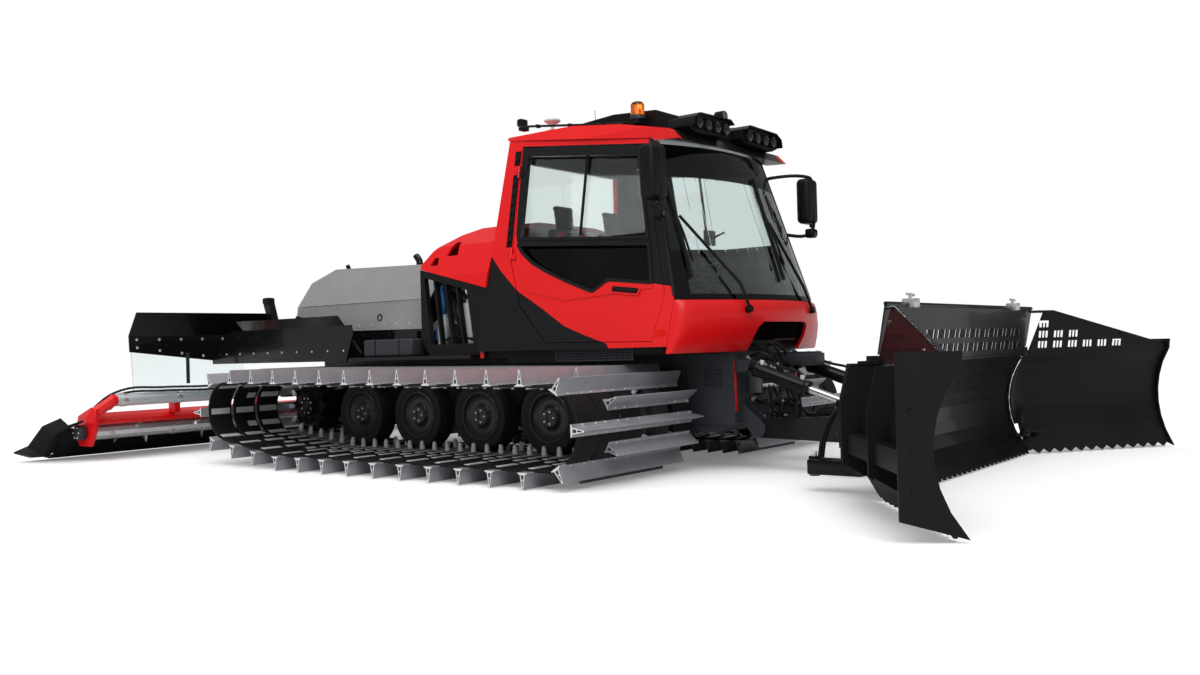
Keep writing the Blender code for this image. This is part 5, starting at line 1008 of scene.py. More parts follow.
def make_nose():
    rows = [nose_row(z, x, bulge) for z, x, bulge in (
        (0.932, 2.120, 0.245), (0.945, 2.135, 0.255), (1.03, 2.160, 0.285), (1.13, 2.181, 0.308),
        (1.24, 2.181, 0.310), (1.30, 2.174, 0.306), (1.325, 2.165, 0.302), (1.330, 2.150, 0.300),
    )]
    nose = sheet_of(rows, 0.024)
    arch = panel(NOSE_ARCH, "yz", (2.2, 2.8))
    modified(nose, "BOOLEAN", operation="DIFFERENCE", object=arch, solver="EXACT")
    bpy.data.objects.remove(arch)
    finished(nose, "nose_dressed", "root", "red_paint", ["nose"], 40)


def make_front_plates():
    """Plates and reflectors beside the tub's front, with the valve box before it."""
    pieces = []
    grid = [
        rectangle(x, x + 0.02, z, z + 0.018)
        for x in spread(2.02, 2.16, 6) for z in spread(0.66, 0.78, 5)
    ]
    side = panel(rectangle(1.86, 2.29, 0.36, 0.92), "xz", (-0.531, -0.5203), grid, 0.002)
    pieces.append(painted(side, "frame_grey"))
    strip = panel(rectangle(-0.528, -0.485, 0.47, 0.86), "yz", (2.2805, 2.286))
    pieces.append(painted(strip, "red_paint"))
    both_sides(joined(pieces), "front_plates", "root", None)
    box = block((2.2805, 2.62), (0.14, 0.38), (0.80, 0.90), 0.012)
    lid = block((2.30, 2.60), (0.155, 0.365), (0.9, 0.912), 0.005)
    parts = [painted(box, "frame_grey"), painted(lid, "frame_grey")]
    parts += bolts([(x, y, 0.912) for x in (2.33, 2.57) for y in (0.18, 0.34)], (0, 0, 1), 0.009)
    bank = block((2.2805, 2.40), (-0.30, 0.08), (0.60, 0.78), 0.01)
    parts.append(painted(bank, "engine_grey"))
    for y in spread(-0.26, 0.04, 6):
        parts.append(painted(rod((2.36, y, 0.778), (2.36, y, 0.83), 0.018, 12, 0.003), "zinc"))
        parts.append(painted(rod((2.39, y, 0.66), (2.44, y, 0.66), 0.016, 6, 0.002), "zinc"))
    finished(joined(parts), "valve_bank", "root", None)


# hoses before the tub: y where they start and end, reach forwards, z of both ends, radius
HOSE_LOOPS = (
    (-0.26, -0.20, 0.1612, 0.66, 0.40, 0.014),
    (-0.20, 0.06, 0.1364, 0.66, 0.44, 0.012),
    (-0.14, -0.27, 0.1116, 0.83, 0.62, 0.012),
    (-0.08, 0.22, 0.186, 0.66, 0.50, 0.014),
    (-0.02, -0.10, 0.1488, 0.83, 0.40, 0.012),
    (0.04, 0.27, 0.124, 0.66, 0.62, 0.012),
    (0.12, -0.24, 0.2046, 0.78, 0.55, 0.014),
    (0.24, 0.10, 0.1736, 0.78, 0.42, 0.012),
    (-0.30, 0.02, 0.2108, 0.88, 0.52, 0.012),
    (0.28, 0.29, 0.1364, 0.76, 0.38, 0.012),
)


HOSE_ROOT_X = 2.285


def make_front_hoses():
    pieces = []
    for y0, y1, out, z0, z1, radius in HOSE_LOOPS:
        path = (
            (HOSE_ROOT_X, y0, z0), (HOSE_ROOT_X + out * 0.7, y0, z0 + 0.03),
            (HOSE_ROOT_X + out, (y0 + y1) / 2, (z0 + z1) / 2),
            (HOSE_ROOT_X + out * 0.75, y1, z1 - 0.03), (HOSE_ROOT_X, y1, z1),
        )
        pieces.append(painted(hose(path, radius, 2), "hose_rubber"))
        for y, z in ((y0, z0), (y1, z1)):
            pieces.append(painted(rod((2.281, y, z), (2.31, y, z), radius * 1.45, 6, 0.002), "zinc"))
    for y0, y1, drop in ((-0.22, -0.06, 0.10), (-0.16, 0.10, 0.14), (0.0, 0.2, 0.12), (0.1, 0.26, 0.08)):
        path = ((2.28, y0, 0.98), (2.35, y0, 0.97), (2.38, y0 * 0.6 + y1 * 0.4, 0.96 - drop),
            (2.28, y1, 0.86))
        pieces.append(painted(hose(path, 0.011, 2), "hose_rubber"))
    finished(joined(pieces), "front_hoses", "root", None)
    runs = []
    for y, rise in ((-0.25, 0.05), (-0.19, 0.10), (0.19, 0.06), (0.25, 0.11)):
        path = (
            (2.66, y, 0.345), (2.74, y, 0.37), (2.88, y, 0.43 + rise / 2), (3.06, y * 0.9, 0.46),
            (3.17, y * 0.8, 0.43),
        )
        runs.append(painted(hose(path, 0.013, 2), "hose_rubber"))
        runs.append(painted(rod((2.63, y, 0.335), (2.68, y, 0.355), 0.018, 6), "zinc"))
    pipe = hose(((2.50, -0.28, 0.30), (2.62, -0.28, 0.36), (3.14, -0.28, 0.36), (3.165, -0.28, 0.34)),
        0.012, 2)
    runs.append(painted(pipe, "bright_steel"))
    runs.append(painted(mirrored(runs[-1]), "bright_steel"))
    tie = block((2.61, 2.66), (-0.3195, 0.3195), (0.30, 0.34), 0.004)
    runs.append(painted(tie, "black_paint"))
    finished(joined(runs), "frame_hoses", "push_frame", None)


def arc_of(half, bulge):
    """Radius and half angle of a bow over twice the half width."""
    radius = (half ** 2 + bulge ** 2) / (2 * bulge)
    return radius, math.asin(half / radius)


# Heights of the windscreen's foot and head, its bow and how much of it is lost at the head
SCREEN_FOOT_Z = 1.33
SCREEN_HEAD_Z = 2.565
SCREEN_BOW = 0.30
SCREEN_BOW_LOSS = 0.09
SCREEN_SKIN = 0.0075
# x and z of the pillar's foot, its height and how far it leans back over it
PILLAR_FOOT = (2.135, 1.36)
PILLAR_HEIGHT = 1.25
PILLAR_BACK = 0.335


def screen_point(z, y):
    """A place on the outer face of the windscreen."""
    share = (z - SCREEN_FOOT_Z) / (SCREEN_HEAD_Z - SCREEN_FOOT_Z)
    half = side_y(z) - 0.004
    radius, reach = arc_of(half, SCREEN_BOW - SCREEN_BOW_LOSS * share)
    pillar = PILLAR_FOOT[0] - (z - PILLAR_FOOT[1]) / PILLAR_HEIGHT * PILLAR_BACK
    angle = math.asin(max(-1, min(1, y / radius)))
    return Vector((pillar + SCREEN_SKIN + radius * (math.cos(angle) - math.cos(reach)), y, z))


# word, y of the blade's lower and upper end, their heights
WIPER_BLADES = (("right", -0.935, -0.875, 1.50, 2.24), ("left", 0.10, 0.17, 1.50, 2.36))


def make_wipers():
    for word, low_y, high_y, low_z, high_z in WIPER_BLADES:
        ends = [screen_point(z, y) for z, y in ((low_z, low_y), (high_z, high_y))]
        points = [screen_point(z, y) for z, y in zip(spread(low_z, high_z, 7), spread(low_y, high_y, 7))]
        lip = hose([p + Vector((0.006, 0, 0)) for p in points], 0.005, 1)
        back = hose([p + Vector((0.022, 0, 0)) for p in points], 0.015, 2)
        bow = hose((
            ends[0] + Vector((0.03, 0, 0.12)), points[3] + Vector((0.045, 0, 0)),
            ends[1] + Vector((0.03, 0, -0.12)),
        ), 0.009, 2)
        pieces = [painted(lip, "hose_rubber"), painted(back, "black_plastic"), painted(bow, "black_paint")]
        finished(joined(pieces), "wiper_blade_" + word, "root", None)


# Roof

ROOF_EDGE = ((0.28, 2.88), (0.34, 2.91), (1.50, 2.765), (1.98, 2.66), (2.06, 2.575))
BEACON = (1.60, -0.74, 2.8)


def roof_z(x):
    """Height of the roof's top at x, along its edge."""
    for (x0, z0), (x1, z1) in zip(ROOF_EDGE, ROOF_EDGE[1:]):
        if x <= x1:
            return z0 + (z1 - z0) * (x - x0) / (x1 - x0)
    return ROOF_EDGE[-1][1]


def make_roof_kit():
    pieces = []
    for side in (-1, 1):
        for k in range(4):
            pieces += lamp((2.0865, side * (0.19 + 0.135 * k), 2.73), (1, 0, 0), 0.050, 0.012)
        brow = [(side * y, z) for y, z in (
            (0.095, 2.775), (0.155, 2.812), (0.615, 2.802), (0.698, 2.760), (0.712, 2.69), (0.704, 2.69),
            (0.690, 2.757), (0.61, 2.794), (0.16, 2.804), (0.10, 2.772),
        )]
        pieces.append(painted(panel(brow, "yz", (1.86, 2.115), (), 0.002), "black_paint"))
    pieces += lamp((1.957, 0, 2.885), (1, 0, 0), 0.046, 0.01)
    run = [(x, -0.795, roof_z(x) + 0.012) for x in spread(0.42, 1.46, 9)]
    conduit = hose([(0.36, -0.76, roof_z(0.36) + 0.03), *run, (1.50, -0.70, 2.80)], 0.010, 2)
    pieces.append(painted(conduit, "hose_rubber"))
    for x in (0.6, 0.95, 1.3):
        clip = block((x - 0.012, x + 0.012), (-0.815, -0.775), (roof_z(x) - 0.004, roof_z(x) + 0.025), 0.003)
        pieces.append(painted(clip, "black_plastic"))
    foot = block((0.34, 0.40), (-0.76, -0.68), (roof_z(0.4) - 0.012, roof_z(0.4) + 0.02), 0.006)
    body = block((0.325, 0.385), (-0.765, -0.675), (2.925, 2.995), 0.015)
    stem = rod((0.36, -0.72, 2.91), (0.36, -0.72, 2.94), 0.012)
    pieces += [painted(piece, "black_plastic") for piece in (foot, body, stem)]
    pieces += lamp((0.324, -0.72, 2.96), (-1, 0, 0), 0.030, 0.01)
    mast = rod((0.99, -0.5, roof_z(0.99) + 0.02), (0.985, -0.5, 3.008), 0.0025, 8)
    socket = rod((0.99, -0.5, roof_z(0.99) - 0.004), (0.99, -0.5, roof_z(0.99) + 0.03), 0.012, 12, 0.003)
    pieces += [painted(mast, "black_plastic"), painted(socket, "black_plastic")]
    finished(joined(pieces), "roof_kit", "root", None)


def make_beacons():
    base = lathe((
        (0, 0.034), (0.056, 0.034), (0.060, 0.030), (0.062, 0.008), (0.074, 0.004), (0.074, 0), (0, 0)
    ), BEACON, (0, 0, 1), 28)
    outline = [(0, 0.144), (0.03, 0.143), (0.046, 0.136), (0.054, 0.122)]
    for k in range(9):
        z = 0.116 - k * 0.0095
        outline += [(0.0565, z), (0.0545, z - 0.004)]
    outline += [(0.0565, 0.0345), (0, 0.0345)]
    dome = lathe(outline, BEACON, (0, 0, 1), 28)
    bulb = lathe(((0, 0.10), (0.018, 0.09), (0.022, 0.07), (0.018, 0.05), (0.03, 0.036), (0, 0.036)),
        BEACON, (0, 0, 1), 16)
    pieces = [painted(base, "frame_grey"), painted(dome, "orange_lens"), painted(bulb, "chrome")]
    both_sides(joined(pieces), "beacon_dressed", "root", None, ["beacon"])


def make_mirrors():
    head = block((2.005, 2.138), (-1.335, -1.125), (2.065, 2.475), 0.045, 5)
    glass = block((2.0035, 2.009), (-1.29, -1.17), (2.11, 2.43), 0.002)
    knuckle = rod((2.118, -1.22, 2.03), (2.118, -1.22, 2.06), 0.024, 16, 0.004)
    arm = hose((
        (1.79, -0.895, 2.46), (1.80, -0.935, 2.468), (1.84, -0.99, 2.488), (2.09, -1.20, 2.492),
        (2.12, -1.22, 2.47), (2.12, -1.22, 2.26), (2.12, -1.22, 2.00), (2.09, -1.20, 1.966),
        (1.97, -1.08, 1.96),
        (1.92, -1.02, 1.978), (1.918, -0.985, 1.98),
    ), 0.0155, 3)
    work = block((2.065, 2.148), (-1.268, -1.172), (1.935, 2.018), 0.018, 3)
    pieces = [painted(piece, "black_plastic") for piece in (head, knuckle, arm, work)]
    pieces.append(painted(glass, "chrome"))
    pieces += lamp((2.1485, -1.22, 1.977), (1, 0, 0), 0.036, 0.01)
    both_sides(joined(pieces), "mirror_dressed", "root", None, ["mirror"])


def make_antenna():
    dish = lathe((
        (0, 0.1045), (0.03, 0.102), (0.062, 0.094), (0.074, 0.084), (0.072, 0.074), (0.052, 0.060),
        (0.028, 0.050), (0.016, 0.040), (0.0145, 0.006), (0.028, 0.004), (0.028, 0.0005), (0, 0.0005),
    ), (0.51, -0.50, 2.91), (0, 0, 1), 28)
    finished(dish, "antenna_dressed", "root", "white_plastic", ["antenna"])


# Hood and engine bay

def make_hood_kit():
    pieces = [painted(ring((-1.335, -0.926, 1.335), (0, -1, 0.1), 0.030, 0.006), "hose_rubber")]
    for y in (-0.6, 0.6):
        pieces.append(painted(rod((-2.16, y, 1.86), (-2.17, y * 1.03, 1.905), 0.022, 14, 0.006),
            "hose_rubber"))
    pipe = hose(((-1.44, -0.30, 1.83), (-1.445, -0.30, 1.91), (-1.49, -0.30, 1.965)), 0.034, 3)
    pieces.append(painted(pipe, "black_paint"))
    pieces.append(painted(ring((-1.44, -0.30, 1.845), (0, 0, 1), 0.048, 0.006), "black_paint"))
    vent = block((-1.95, -1.87), (-0.05, 0.05), (1.855, 1.88), 0.008)
    pieces.append(painted(vent, "hose_rubber"))
    for side in (-1, 1):
        seam = hose([(-0.69, side * 0.9035, 1.49), (-2.55, side * 0.9035, 1.49)], 0.004, 1, smooth=False)
        pieces.append(painted(seam, "bright_steel"))
        pieces += bolts([(x, side * 0.9335, 1.27) for x in spread(-1.62, -0.74, 6)], (0, side, 0.12), 0.008,
            0.005)
    finished(joined(pieces), "hood_kit", "hood", None)


def make_engine():
    """What shows of the engine through the side covers and behind the hood."""
    pieces = []
    block_side = block((-1.90, -0.02), (-0.70, -0.621), (1.02, 1.40), 0.02)
    pieces.append(painted(block_side, "engine_grey"))
    for x in spread(-1.75, -0.15, 7):
        head = block((x - 0.09, x + 0.09), (-0.68, -0.30), (1.481, 1.60), 0.02)
        pieces.append(painted(head, "engine_grey"))
        pieces.append(painted(rod((x, -0.70, 1.30), (x, -0.86, 1.22), 0.035, 14, 0.006), "bright_steel"))
    rail = rod((-1.85, -0.86, 1.21), (-0.08, -0.86, 1.21), 0.05, 18, 0.01)
    pieces.append(painted(rail, "engine_grey"))
    for x, y, low, high, radius, finish in (
        (-0.46, -0.93, 1.02, 1.30, 0.060, "pale_tube"),
        (-0.30, -0.90, 1.02, 1.24, 0.055, "black_plastic"),
        (-0.13, -0.92, 1.02, 1.42, 0.075, "pale_tube"),
        (0.02, -0.93, 1.02, 1.30, 0.055, "engine_grey"),
    ):
        pieces.append(painted(rod((x, y, low), (x, y, high), radius, 20, 0.012), finish))
        pieces.append(painted(rod((x, y, high), (x, y, high + 0.03), radius * 0.6, 16, 0.006), "zinc"))
    cap = lathe(((0, 0.03), (0.03, 0.026), (0.042, 0.008), (0.042, 0), (0, 0)), (-0.06, -1.005, 1.52),
        (0, -1, 0.2), 18)
    pieces.append(painted(cap, "white_plastic"))
    neck = rod((-0.06, -0.80, 1.50), (-0.06, -1.005, 1.52), 0.03, 14)
    pieces.append(painted(neck, "black_plastic"))
    for points, radius, finish in (
        (((-0.50, -0.80, 1.60), (-0.44, -0.96, 1.56), (-0.42, -0.97, 1.40), (-0.46, -0.95, 1.32)), 0.020,
        "blue_hose"),
        (((-0.52, -0.72, 1.24), (-0.50, -0.95, 1.20), (-0.53, -0.96, 1.10)), 0.018, "blue_hose"),
        (((-0.05, -0.70, 1.44), (0.06, -0.93, 1.46), (0.08, -0.95, 1.34)), 0.016, "blue_hose"),
        (((-0.56, -0.70, 1.50), (-0.30, -0.98, 1.55), (-0.10, -0.92, 1.45)), 0.022, "hose_rubber"),
        (((-0.34, -0.70, 1.40), (-0.28, -0.97, 1.42), (-0.22, -0.97, 1.20), (-0.20, -0.90, 1.05)), 0.018,
        "hose_rubber"),
        (((-0.60, -0.85, 1.04), (-0.30, -0.99, 1.12), (0.05, -0.95, 1.08)), 0.014, "hose_rubber"),
    ):
        pieces.append(painted(hose(points, radius, 3), finish))
    right = joined(pieces)
    both = joined([right, mirrored(right)])
    finished(both, "engine_fittings", "root", None)


# Deck, flaps and sheets

FLAP_X = -3.754
FLAP_BEND_Z = 1.24


def flap_x(z):
    """Middle of the rear flap's sheet at a height."""
    if z > FLAP_BEND_Z:
        return FLAP_X + (z - FLAP_BEND_Z) / 0.23 * 0.16
    return FLAP_X + (FLAP_BEND_Z - z) / 0.27 * 0.02


def make_deck_kit():
    pieces = []
    master = joined([
        painted(rod((-0.0105, 0, 0), (0.0105, 0, 0), 0.014, 16, 0.003), "zinc"),
        painted(rod((-0.0125, 0, 0), (0.0125, 0, 0), 0.007, 6), "bright_steel"),
    ])
    for y in spread(0.56, 2.02, 7):
        low = 1.01 + max(0, y - 1.18) / 0.92 * 0.12
        for z in (low, 1.20):
            for side in (-1, 1):
                pieces.append(copied(master, Matrix.Translation((flap_x(z), side * y, z))))
    bpy.data.objects.remove(master)
    for side in (-1, 1):
        strap = block((-3.722, -3.716), (side * 1.46, side * 1.50), (0.74, 1.06), 0.002)
        pieces.append(painted(strap, "frame_grey"))
        for x in spread(-3.45, -1.55, 9):
            pieces += bolts([(x, side * 1.192, 1.03)], (0, side, 0), 0.010, 0.006)
        for x in spread(-2.30, -0.80, 5):
            web = block((x - 0.012, x + 0.012), (side * 0.9303, side * 0.955), (0.965, 1.19), 0.003)
            pieces.append(painted(web, "black_paint"))
        tank = block((-1.32, -0.66), (side * 0.96, side * 1.15), (0.965, 1.12), 0.02, 3)
        pieces.append(painted(tank, "frame_grey"))
        for x in (-1.15, -0.83):
            band = block((x - 0.02, x + 0.02), (side * 0.958, side * 1.1525), (0.963, 1.1225), 0.021, 3)
            pieces.append(painted(band, "black_paint"))
        for lift in (0.0, 0.03):
            path = ((-1.40, side * 1.10, 1.00), (-1.52, side * 1.13, 1.10 + lift),
                (-1.64, side * 1.10, 1.06 + lift), (-1.78, side * 1.06, 0.98))
            pieces.append(painted(hose(path, 0.011, 2), "hose_rubber"))
    knob = block((-3.535, -3.43), (-0.69, -0.59), (1.56, 1.635), 0.02, 3)
    pieces.append(painted(knob, "black_plastic"))
    finished(joined(pieces), "deck_kit", "root", None)


def make_sprocket_kit():
    pieces = []
    centre_x, centre_z = SPROCKET
    for k in range(8):
        angle = 2 * math.pi * (k + 0.5) / 8
        place = (centre_x + 0.155 * math.cos(angle), -1.0803, centre_z + 0.155 * math.sin(angle))
        pieces.append(painted(rod(place, Vector(place) + Vector((0, -0.004, 0)), 0.030, 20), "black_paint"))
        outer = (centre_x + 0.075 * math.cos(angle), -1.11, centre_z + 0.075 * math.sin(angle))
        pieces.append(bolt(outer, (0, -1, 0), 0.010, 0.008))
    pieces.append(painted(ring((centre_x, -1.0805, centre_z), (0, -1, 0), 0.195, 0.007, 40), "black_paint"))
    cap = lathe(((0, 0.02), (0.035, 0.018), (0.045, 0.010), (0.048, 0), (0, 0)),
        (centre_x, -1.1101, centre_z),
        (0, -1, 0), 24)
    pieces.append(painted(cap, "frame_grey"))
    both_sides(joined(pieces), "sprocket_kit", "root", None)


# Blade

# x against z of the guards, their rows of bars, and the hinge of the right wing with its angle
GUARD_LEAN = 0.18
GUARD_FOOT_Z = 0.85
GUARD_ROWS = ((0.89, 0.95), (0.99, 1.05), (1.09, 1.15))
GUARD_CELL = 0.21
WING_GUARD_X = 0.0193
WING_HINGE = (3.86, -1.506)
WING_FOLD = 38
# radius of the mouldboard's hollow, where its middle lies, and the shells' gap from it
BOARD_RADIUS = 0.62
BOARD_MIDDLE_Z = 0.45
BOARD_MIDDLE_X = 0.5
SHELL_GAP = 0.008


def guard_x(z):
    return WING_HINGE[0] + WING_GUARD_X + GUARD_LEAN * (z - GUARD_FOOT_Z)


def leaning(x):
    """Leans a piece like a guard that stands at x at its foot."""
    lean = Matrix.Identity(4)
    lean[0][2] = GUARD_LEAN
    lean[0][3] = x - GUARD_LEAN * GUARD_FOOT_Z
    return lean


def make_blade_kit():
    pieces = []
    for low, high in GUARD_ROWS:
        for k in range(13):
            middle = -1.42 + GUARD_CELL * (k + 0.5)
            for shift in (-0.042, -0.014, 0.014, 0.042):
                y = middle + shift
                bar = block((-0.004, 0.004), (y - 0.006, y + 0.006), (low - 0.006, high + 0.006))
                pieces.append(painted(moved(bar, leaning(WING_HINGE[0] + WING_GUARD_X)), "blade_paint"))
    rail = hose([(guard_x(1.212), y, 1.212) for y in (-1.495, 1.495)], 0.014, 2, smooth=False)
    pieces.append(painted(rail, "blade_paint"))
    x = guard_x(1.22)
    for y in (-1.1, 1.0):
        jaw = block((x - 0.04, x + 0.045), (y - 0.05, y + 0.05), (1.19, 1.25), 0.008)
        foot = block((x - 0.055, x - 0.02), (y - 0.035, y + 0.035), (1.11, 1.20), 0.006)
        screw = rod((x, y, 1.25), (x, y, 1.285), 0.012, 12)
        wing = rod((x, y - 0.06, 1.278), (x, y + 0.06, 1.272), 0.009, 12, 0.003)
        pieces += [painted(piece, "bright_steel") for piece in (jaw, foot, screw, wing)]
    for side in (-1, 1):
        arm = block((3.27, 3.66), (side * 1.12, side * 1.28), (0.115, 0.215), 0.012)
        gusset = panel(((3.60, 0.21), (3.66, 0.21), (3.66, 0.36), (3.63, 0.36)), "xz",
            sorted((side * 1.17, side * 1.23)))
        eye = rod((3.29, side * 1.2, 0.10), (3.29, side * 1.2, 0.23), 0.038, 20, 0.005)
        pin = rod((3.29, side * 1.2, 0.23), (3.29, side * 1.2, 0.265), 0.020, 14, 0.004)
        pieces += [painted(piece, "blade_paint") for piece in (arm, gusset, eye)]
        pieces.append(painted(pin, "zinc"))
        plate = block((3.585, 3.6185), (side * 1.33, side * 1.47), (0.36, 0.62), 0.004)
        pieces.append(painted(plate, "blade_paint"))
        spots = [(3.5845, side * y, z) for y in (1.36, 1.44) for z in (0.41, 0.57)]
        pieces += bolts(spots, (-1, 0, 0), 0.014, 0.008)
        for shift in (0.0, 0.05):
            path = (
                (3.34, side * (1.18 + shift), 0.22), (3.36, side * (1.16 + shift), 0.36),
                (3.42, side * (1.10 + shift), 0.52),
                (3.52, side * (1.0 + shift), 0.60), (3.60, side * (0.90 + shift), 0.55),
            )
            pieces.append(painted(hose(path, 0.012, 2), "hose_rubber"))
    finished(joined(pieces), "blade_kit", "blade", None)
    rows = []
    for z in spread(0.255, 0.79, 12):
        reach = math.sqrt(BOARD_RADIUS ** 2 - (z - BOARD_MIDDLE_Z) ** 2) - BOARD_MIDDLE_X - SHELL_GAP
        rows.append([
            (WING_HINGE[0] - reach * math.cos(a), WING_HINGE[1] - reach * math.sin(a), z)
            for a in spread(math.radians(-26), math.radians(66), 16)
        ])
    shell = sheet_of(rows, 0.005, 0)
    both = joined([shell, mirrored(shell)])
    finished(both, "joint_shells", "blade", "blade_paint")


def make_wing_kits():
    """Bolts and a top rail for the wing that stands on the right, and its twin."""
    turn = Matrix.Translation((*WING_HINGE, 0)) @ Matrix.Rotation(math.radians(WING_FOLD), 4, "Z")
    pieces = []
    high, low = (WING_GUARD_X + GUARD_LEAN * rise for rise in (0.335, 0.03))
    rail = hose([(high, -0.02, 1.185), (high, -0.25, 1.185), (low, -1.385, 0.88)], 0.011, 2, smooth=False)
    pieces.append(painted(rail, "blade_paint"))
    stay = hose([(0.02, -1.39, 0.90), (0.02, -1.30, 0.905), (0.05, -0.92, 0.99)], 0.010, 2, smooth=False)
    pieces.append(painted(stay, "blade_paint"))
    for k in range(7):
        along = 0.10 + 0.145 * (k + 0.5)
        top = min(1.13, 1.19 - 0.31 * along / 1.40 - 0.06)
        for shift in (-0.015, 0.015):
            bar = block((-0.004, 0.004), (-along + shift - 0.004, -along + shift + 0.004), (0.87, top))
            pieces.append(painted(moved(bar, leaning(WING_GUARD_X)), "blade_paint"))
    spots = [(-0.19, -1.406, z) for z in (0.25, 0.45, 0.65)]
    pieces += bolts(spots, (0, -1, 0), 0.012, 0.007, "blade_paint")
    wing = moved(joined(pieces), turn)
    twin = mirrored(wing)
    finished(wing, "wing_kit_right", "blade_wing_right", None)
    finished(twin, "wing_kit_left", "blade_wing_left", None)


# Pins of the right lift cylinder, on the tub and on the push frame
LIFT_HEAD = Vector((2.36, -0.455, 0.82))
LIFT_EYE = Vector((3.24, -0.455, 0.52))


def make_lift_kit():
    head = LIFT_HEAD
    way = (LIFT_EYE - LIFT_HEAD).normalized()
    pieces = []
    for start, end, radius in ((0.52, 0.565, 0.060), (0.085, 0.12, 0.059)):
        collar = rod(head + way * start, head + way * end, radius, 32, 0.004)
        pieces.append(painted(collar, "black_paint"))
    top = Vector((0.01, 0, 0.085))
    for along in (0.14, 0.50):
        place = head + way * along
        pieces.append(painted(rod(place + Vector((0, 0, 0.045)), place + top, 0.018, 6, 0.002), "zinc"))
    line = hose([
        head + way * 0.50 + top, head + way * 0.45 + Vector((0, 0.01, 0.10)),
        head + way * 0.30 + Vector((0, 0.02, 0.085)), head + way * 0.18 + Vector((0, 0.02, 0.085)),
    ], 0.011, 2)
    pieces.append(painted(line, "hose_rubber"))
    both_sides(joined(pieces), "lift_kit", "lift_barrel", None)


# Tiller

# x and z of the tiller's cross tube and of its rotor
TUBE = (-3.90, 0.60)
ROTOR = (-4.12, 0.29)


def make_tiller_kit():
    tube_x, tube_z = TUBE
    pieces = [painted(rod((tube_x, -2.17, tube_z), (tube_x, 2.17, tube_z), 0.0612, 32), "pale_tube")]
    for y in (-2.1, -1.5, -0.5, 0.5, 1.5, 2.1):
        band = rod((tube_x, y - 0.03, tube_z), (tube_x, y + 0.03, tube_z), 0.066, 32, 0.003)
        pieces.append(painted(band, "bright_steel"))
        for angle in (0.5, 1.57, 2.6):
            aside, up = math.cos(angle), math.sin(angle)
            spot = (tube_x + 0.066 * aside, y, tube_z + 0.066 * up)
            pieces.append(bolt(spot, (aside, 0, up), 0.010, 0.008))
    for side in (-1, 1):
        for shift in (0.0, 0.035):
            path = (
                (-3.84, side * 0.10, 0.66 + shift), (-3.83, side * 0.6, 0.68 + shift),
                (-3.84, side * 1.2, 0.665 + shift), (-3.86, side * 1.7, 0.675 + shift),
                (-3.93, side * 2.1, 0.66 + shift), (-4.02, side * 2.30, 0.56), (-4.08, side * 2.38, 0.42),
            )
            pieces.append(painted(hose(path, 0.012, 2), "hose_rubber"))
        rotor_x, rotor_z = ROTOR
        motor = rod((rotor_x, side * 2.386, rotor_z), (rotor_x, side * 2.47, rotor_z), 0.075, 28, 0.012)
        pieces.append(painted(motor, "frame_grey"))
        spots = []
        for k in range(6):
            angle = 2 * math.pi * k / 6
            across, up = 0.055 * math.cos(angle), 0.055 * math.sin(angle)
            spots.append((rotor_x + across, side * 2.47, rotor_z + up))
        pieces += bolts(spots, (0, side, 0), 0.009, 0.007)
        wing = [(-3.98, 0.50), (-3.90, 0.54), (-3.86, 0.60), (-3.88, 0.66), (-3.96, 0.66), (-4.02, 0.58)]
        pieces.append(painted(panel(wing, "xz", sorted((side * 2.18, side * 2.20)), (), 0.003), "red_paint"))
    finished(joined(pieces), "tiller_kit", "tiller", None)


def make_finisher_kit():
    spots = [(-4.285, y, 0.352) for y in spread(-2.2, 2.2, 12)]
    pieces = bolts(spots, (0.3, 0, 1), 0.010, 0.006)
    finished(joined(pieces), "finisher_bolts", "tiller", None)


# Interior

SEATS = (("driver", 0.28), ("passenger", -0.42))
SEAT_FLOOR = 1.0156
PAD_GRID = 0.010
PAD_PRESSURE = 4
PAD_FRAMES = 20


def puffed(obj, cap):
    """Swell a closed pad with a short cloth simulation, then keep the shape."""
    modified(obj, "REMESH", mode="VOXEL", voxel_size=PAD_GRID)
    before = [vertex.co.copy() for vertex in obj.data.vertices]
    active(obj)
    cloth = obj.modifiers.new("cloth", "CLOTH")
    cloth.settings.use_pressure = True
    cloth.settings.uniform_pressure_force = PAD_PRESSURE
    cloth.settings.effector_weights.gravity = 0
    for step in range(1, PAD_FRAMES + 1):
        bpy.context.scene.frame_set(step)
    bpy.ops.object.modifier_apply(modifier=cloth.name)
    bpy.context.scene.frame_set(1)
    for vertex, start in zip(obj.data.vertices, before):
        move = vertex.co - start
        if move.length > cap:
            vertex.co = start + move.normalized() * cap
    return modified(obj, "SUBSURF", levels=1, render_levels=1)


CUSHION = ((0.635, 0.315), (1.15, 0.315), (1.18, 0.39), (1.11, 0.43), (0.64, 0.405))
BACKREST = ((0.655, 0.40), (0.745, 0.415), (0.612, 1.00), (0.56, 1.03), (0.515, 1.00), (0.535, 0.90))
HEADREST = ((0.54, 0.995), (0.59, 0.995), (0.562, 1.225), (0.50, 1.225))


